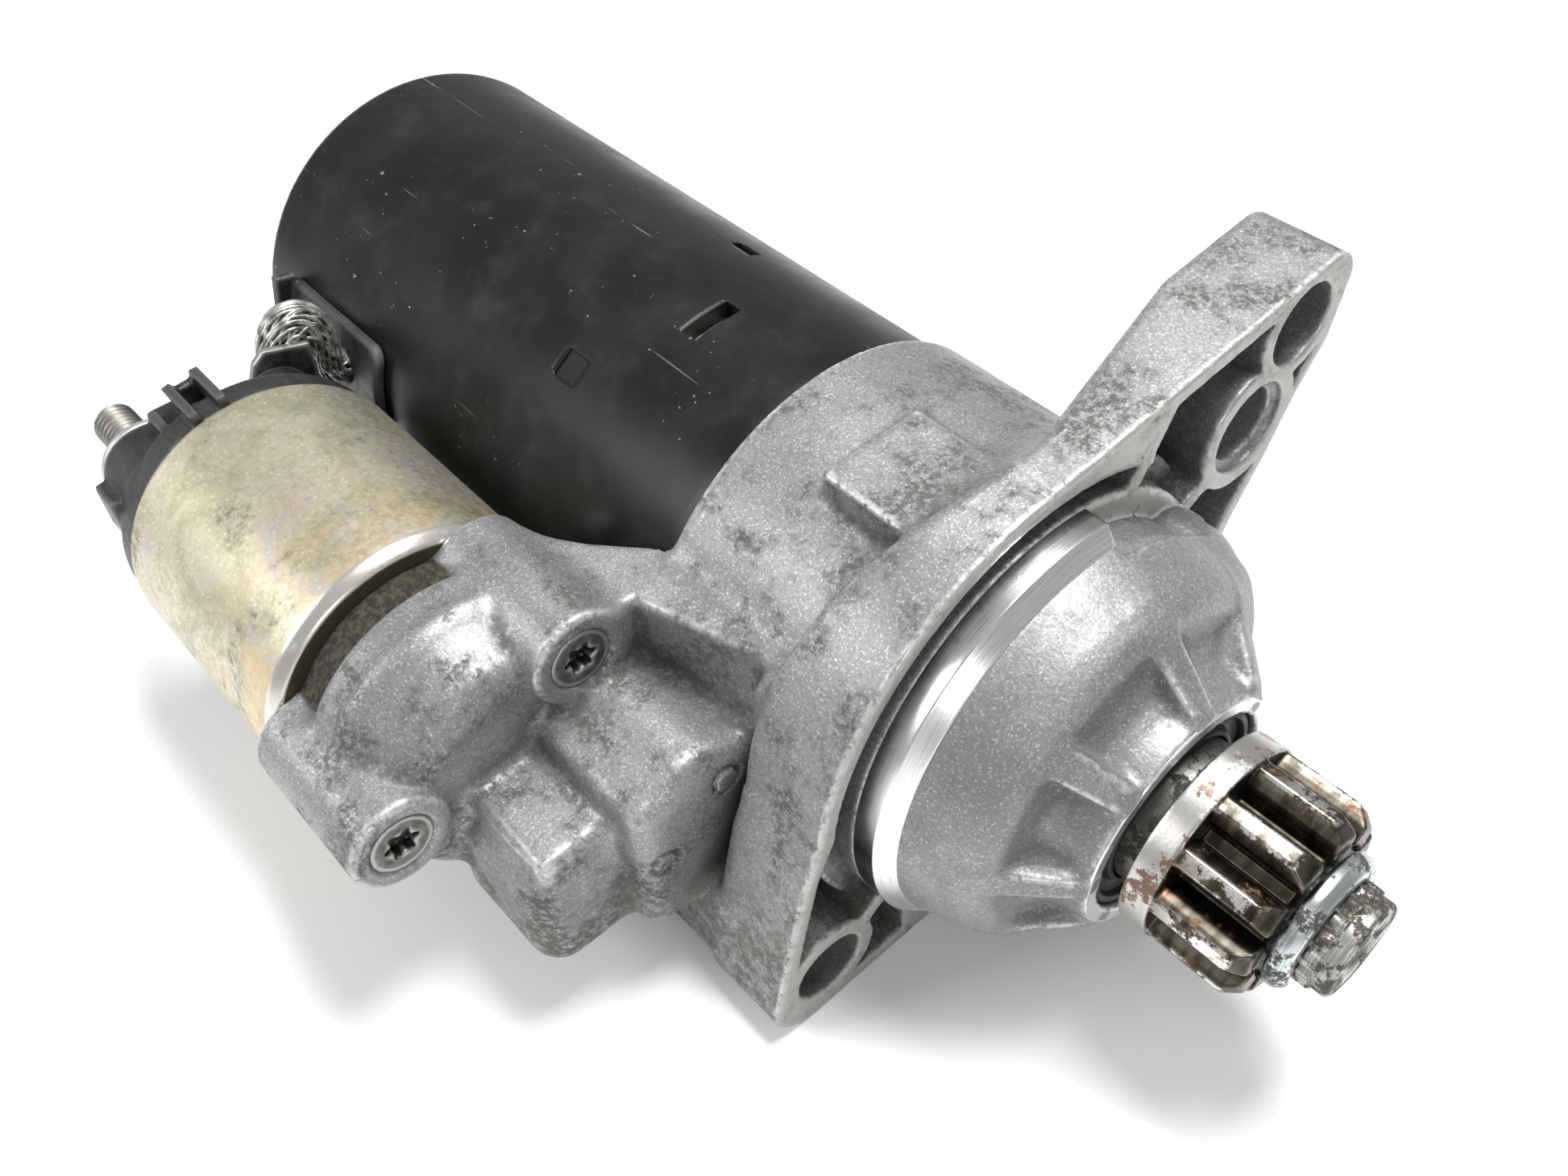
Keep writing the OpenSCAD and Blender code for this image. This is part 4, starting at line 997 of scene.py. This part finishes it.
def make_cap():
    f = Field((-138, -96, -29), (-118, -36, 30), 0.45)
    shape = fuse(f.drum(-127, CAN_X0, CAN_R - 0.8, CAN_Y, 0, 1.0),
                 f.cone(-133.5, -126, 20.5, CAN_R - 1.6, CAN_Y, 0, 1.2), 1.2)
    shape = join(shape, f.drum(-124, -118.2, CAN_R - 1.9, CAN_Y))
    for stud, r, x in ((BATTERY_STUD, 8.6, -136.0), (MOTOR_STUD, 7.4, -135.0)):
        shape = fuse(shape, f.drum(x, -124, r, *stud, 0.6), 1.2)
    # angle, reach, half thickness and ends of three fins, and of the plate between two of them
    fin_x, plate_x = (-132.5, -121.6), (-132.2, -130.4)
    for angle, reach, half, ends in ((92, 27.9, 0.9, fin_x), (103, 27.9, 0.9, fin_x),
                                     (114, 25.6, 0.9, fin_x), (97.5, 26.8, 2.5, plate_x)):
        along, across = f.turned_about(angle, CAN_Y)
        fin = meet(np.maximum(np.abs(across) - half, slab(along, 18, reach)), slab(f.x, *ends), 0.3)
        shape = fuse(shape, fin, 0.6)
    # the clip beside the battery stud and the post behind it
    shape = fuse(shape, f.box((-134.5, -89.6, 5), (-127, -86.6, 14), 0.8), 1.0)
    shape = fuse(shape, f.box((-136, -76.5, 12), (-127, -68.5, 21.5), 0.8), 0.8)
    shape = cut(shape, f.drum(-130.5, -117, 20.8, CAN_Y), f.box((-140, -85.5, -5), (-119, -84.7, 1.3)),
                *(f.drum(-139, -129, STUD_R + 0.05, *stud) for stud in (BATTERY_STUD, MOTOR_STUD)))
    add_field_piece("solenoid_cap_moulded", f, shape, "black_plastic", ("solenoid_cap",))


def add_stud(name, x0, x1, y, z, node, thread_to):
    """A stud with a real helical thread from x0 to thread_to, and a chamfered end."""
    steps, turns = 36, (x1 - x0) / THREAD_PITCH
    rows = int(turns * 8)
    points, faces = [], []
    for i in range(rows + 1):
        x = x0 + (x1 - x0) * i / rows
        for k in range(steps):
            phase = ((x - x0) / THREAD_PITCH - k / steps) % 1.0
            depth = 0.62 * abs(2 * phase - 1) if x < thread_to else 0.0
            radius = min(STUD_R - depth, STUD_R - 0.9 + (x - x0))
            a = 2 * math.pi * k / steps
            points.append((x * MM, (y + radius * math.cos(a)) * MM, (z + radius * math.sin(a)) * MM))
    for i in range(rows):
        for k in range(steps):
            a, b = i * steps + k, i * steps + (k + 1) % steps
            faces.append((a, b, b + steps, a + steps))
    faces += [tuple(range(steps)), tuple(rows * steps + k for k in reversed(range(steps)))]
    clean(add_piece(name, points, faces, "stud", (node,)))


def make_terminals():
    add_stud("battery_stud_threaded", -152, -128.6, *BATTERY_STUD, "battery_stud", -138)
    add_stud("motor_stud_threaded", -136.5, -128.6, *MOTOR_STUD, "motor_stud", -133)
    f = Field((-141.5, -88.5, 1.5), (-135, -69.5, 20.5), 0.25)
    washer = f.drum(-137.5, -136, 8.4, *BATTERY_STUD, 0.35)
    nut = f.cone(-139.1, -137.2, 5.4, 6.6, *BATTERY_STUD, 0.35)
    shape = cut(join(washer, nut), f.drum(-143, -134, STUD_R, *BATTERY_STUD))
    add_field_piece("battery_nut_collar", f, shape, "stud", ("battery_nut",))

    f = Field((-138.5, -62, 4), (-133.5, -44, 24), 0.25)
    strap = [(-60.5, 6), (-50, 6), (-45.4, 13), (-45.4, 19.6), (-53.9, 22.2), (-56.3, 20.4), (-60.5, 11.5)]
    shape = cut(f.prism_x(strap, -136.7, -135.1, 0.3), f.drum(-140, -130, STUD_R, *MOTOR_STUD))
    add_field_piece("lead_strap", f, shape, "dark_steel", ("lead_tab",))


def make_screws():
    """Countersunk heads with six-lobed sockets."""
    for k, (y, z) in enumerate(screw_places()):
        f = Field((-78, y - 6.3, z - 6.3), (-42, y + 6.3, z + 6.3), 0.3)
        head = f.cone(-46, SCREW_FACE - 0.2, 2.6, 5.6, y, z, 0.25)
        shank = f.drum(-76, -45.5, 2.45, y, z)
        angle = np.arctan2(f.z - z, f.y - y)
        socket = np.maximum(f.rho(y, z) - (2.35 + 0.5 * np.cos(6 * angle)), slab(f.x, -45.6, -42))
        ring = np.maximum(np.abs(f.rho(y, z) - 4.35) - 0.16, slab(f.x, -43.45, -42))
        shape = cut(join(head, shank), socket, ring)
        add_field_piece(f"torx_screw_{k + 1}", f, shape, "dark_steel",
                        ("solenoid_screws",) if k == 0 else ())


# --- pinion end

def inv(angle):
    return math.tan(angle) - angle


def pinion_outline():
    """Involute flanks, as in the CAD: module 2.54 mm, 20 degrees, thickened by 0.8 mm."""
    module, pressure, grow, root = 2.54, math.radians(20), 0.8, 11.0
    pitch_r = PINION_TEETH * module / 2
    base_r = pitch_r * math.cos(pressure)

    def half(r):
        at_pitch = math.pi / 2 / PINION_TEETH + grow / pitch_r / 2 + inv(pressure)
        return at_pitch - (inv(math.acos(base_r / r)) if r > base_r else 0)

    radii = [root + (PINION_TIP_R - root) * k / 5 for k in range(6)]
    points = []
    for i in range(PINION_TEETH):
        middle = math.radians(8) + 2 * math.pi * i / PINION_TEETH
        flank = [(r, middle - half(r)) for r in radii] + [(r, middle + half(r)) for r in reversed(radii)]
        points += [(r * math.cos(a), r * math.sin(a)) for r, a in flank]
    return points


def make_pinion():
    f = Field((30.5, -17.5, -17.5), (51.5, 17.5, 17.5), 0.28)
    teeth = f.prism_x(pinion_outline(), PINION_X0 + 4.7, PINION_X1, 0.35)
    teeth = soft_max(teeth, f.cone(28, PINION_X1 + 0.3, 34.0, 14.1), 0.4)
    teeth = np.maximum(teeth, f.drum(PINION_X0, PINION_X1, PINION_TIP_R - 0.03, soft=0.2))
    collar = f.drum(PINION_X0, PINION_X0 + 4.8, PINION_TIP_R + 0.28, soft=0.35)
    shape = fuse(teeth, collar, 0.5)
    recess = f.cone(PINION_X1 - 0.9, PINION_X1 + 0.5, 11.0, 12.0)
    shape = soft_max(shape, -recess, 0.3)
    shape = cut(shape, f.drum(28, 60, 8.05))
    add_field_piece("pinion_worn", f, shape, "pinion", ("pinion",), "pinion")

    profile = [(51.0, 8.1), (51.0, 10.6), (51.5, 11.35), (53.0, 11.35), (54.3, 10.3), (54.5, 9.6),
               (54.5, 8.1)]
    add_turned("stop_ring_zinc", profile, "zinc_steel", ("stop_ring",), soft=0.5, body="pinion")

    f = Field((49, -9.4, -9.4), (60.2, 9.4, 9.4), 0.22)
    end = f.drum(50.4, SHAFT_X1, 8.0, soft=0.8)
    angle = np.arctan2(f.z, f.y)
    knurl = meet(f.rho() - (8.25 + 0.4 * np.cos(16 * angle)), slab(f.x, 54.6, 56.8), 0.2)
    end = soft_max(join(end, knurl), -f.cone(SHAFT_X1 - 1.2, SHAFT_X1 + 0.3, 3.0, 4.4), 0.4)
    add_field_piece("shaft_end_knurled", f, end, "steel", body="pinion")
    # the hollow shaft, stepped outside and in its bore
    profile = [(-23.6, 12.5), (31.2, 12.5), (31.2, 8.0), (50.6, 8.0), (50.6, 5.0), (17, 5.0), (17, 6.1),
               (-13, 6.1), (-13, 9.2), (-23.6, 9.2)]
    add_turned("pinion_shaft_turned", profile, "steel", ("pinion_shaft",), soft=0.2, body="pinion")


def make_seal():
    profile = [(24.0, 12.95), (24.0, 17.6), (27.3, 17.6), (27.6, 17.2), (27.6, 16.3), (26.1, 16.1),
               (25.9, 14.2), (27.4, 13.6), (27.4, 12.95)]
    add_turned("seal_lip", profile, "rubber", ("shaft_seal",), soft=0.25)


# --- grommet and braid

LEAD_ROUTE = [(-139.5, -32.2, 6.8), (-139.5, -38.5, 8.2), (-139.6, -41.2, 9.9), (-139.8, -42.3, 13.2),
              (-140, -42.6, 17.4), (-140.1, -44.3, 20.9), (-140.1, -47.2, 21.4), (-140.1, -49.6, 19.2),
              (-140.1, -50.6, 16.6), (-140.1, -50.8, 14.6)]


def make_grommet():
    f = Field((-164, -46, -8), (-124.5, -26, 22), 0.4)
    along, across = f.turned_about(LEAD_ANGLE)
    rho = f.rho()
    cover = meet(np.maximum(rho - (YOKE_R + 2.2), YOKE_R + 0.03 - rho),
                 meet(slab(across, -8.6, 10), slab(f.x, -162, -127.5), 3.0), 0.9)
    plug = np.maximum(slab(along, 34, 40), slab(across, -4.8, 4.8))
    plug = meet(plug, slab(f.x, -145.8, -133.2), 0.5)
    fin = np.maximum(slab(along, 38.6, 43), slab(across, -10, 8))
    fin = meet(fin, slab(f.x, -160.5, -158.3), 0.4)
    hole = np.hypot(f.x + 139.5, across) - (LEAD_R + 0.1)
    shape = cut(join(fuse(cover, fin, 0.8), plug), hole)
    add_field_piece("grommet_moulded", f, shape, "rubber", ("grommet",))


def make_braid():
    """Bundles of strands twisted round the lead's route, loosened where they bend."""
    rng = random.Random(11)
    route = [Vector(p) for p in LEAD_ROUTE]
    # a smooth curve through the route's points
    centre = []
    for i in range(len(route) - 1):
        p0, p1, p2, p3 = (route[min(max(i + k, 0), len(route) - 1)] for k in (-1, 0, 1, 2))
        for step in range(8):
            t = step / 8
            centre.append(0.5 * (2 * p1 + (p2 - p0) * t + (2 * p0 - 5 * p1 + 4 * p2 - p3) * t * t
                                 + (3 * p1 - p0 - 3 * p2 + p3) * t ** 3))
    centre.append(route[-1])
    side = Vector((1, 0, 0))
    points, faces = [], []
    sides = 5
    for layer, (count, radius, pitch) in enumerate(((24, 3.0, 0.42), (22, 2.75, -0.5), (12, 1.7, 0.5))):
        for strand in range(count):
            start = 2 * math.pi * strand / count + rng.uniform(-0.12, 0.12)
            wire = rng.uniform(0.34, 0.46)
            wander = [rng.uniform(-0.22, 0.22) for _ in range(4)]
            first = len(points)
            for i, middle in enumerate(centre):
                t = i / (len(centre) - 1)
                tangent = (centre[min(i + 1, len(centre) - 1)] - centre[max(i - 1, 0)]).normalized()
                across = side - tangent * side.dot(tangent)
                across.normalize()
                upward = tangent.cross(across)
                turn = start + pitch * 2.4 * math.pi * t + wander[0] * math.sin(9 * t + 6 * wander[1])
                weave = 0.28 * math.sin(start * 6 + t * 26 + layer * math.pi)
                reach = radius + weave * 0.6 + wander[2] * math.sin(7 * t + 9 * wander[3])
                reach = min(reach, LEAD_R - wire) * (1 + 0.28 * math.sin(math.pi * t) ** 2)
                spot = middle + (across * math.cos(turn) + upward * math.sin(turn)) * reach
                for k in range(sides):
                    a = 2 * math.pi * k / sides
                    points.append((spot + (across * math.cos(a) + upward * math.sin(a)) * wire) * MM)
            for i in range(len(centre) - 1):
                for k in range(sides):
                    a, b = first + i * sides + k, first + i * sides + (k + 1) % sides
                    faces.append((a, b, b + sides, a + sides))
            last = first + (len(centre) - 1) * sides
            faces.append(tuple(first + k for k in range(sides)))
            faces.append(tuple(last + k for k in reversed(range(sides))))
    points = [tuple(p) for p in points]
    add_piece("braid_strands", points, faces, "tinned_copper", ("braided_lead",))


set_camera()
set_stage()
looks = make_materials()
paint_nodes()
make_housing()
make_spigot()
make_yoke()
make_can()
make_cap()
make_terminals()
make_screws()
make_pinion()
make_seal()
make_grommet()
make_braid()
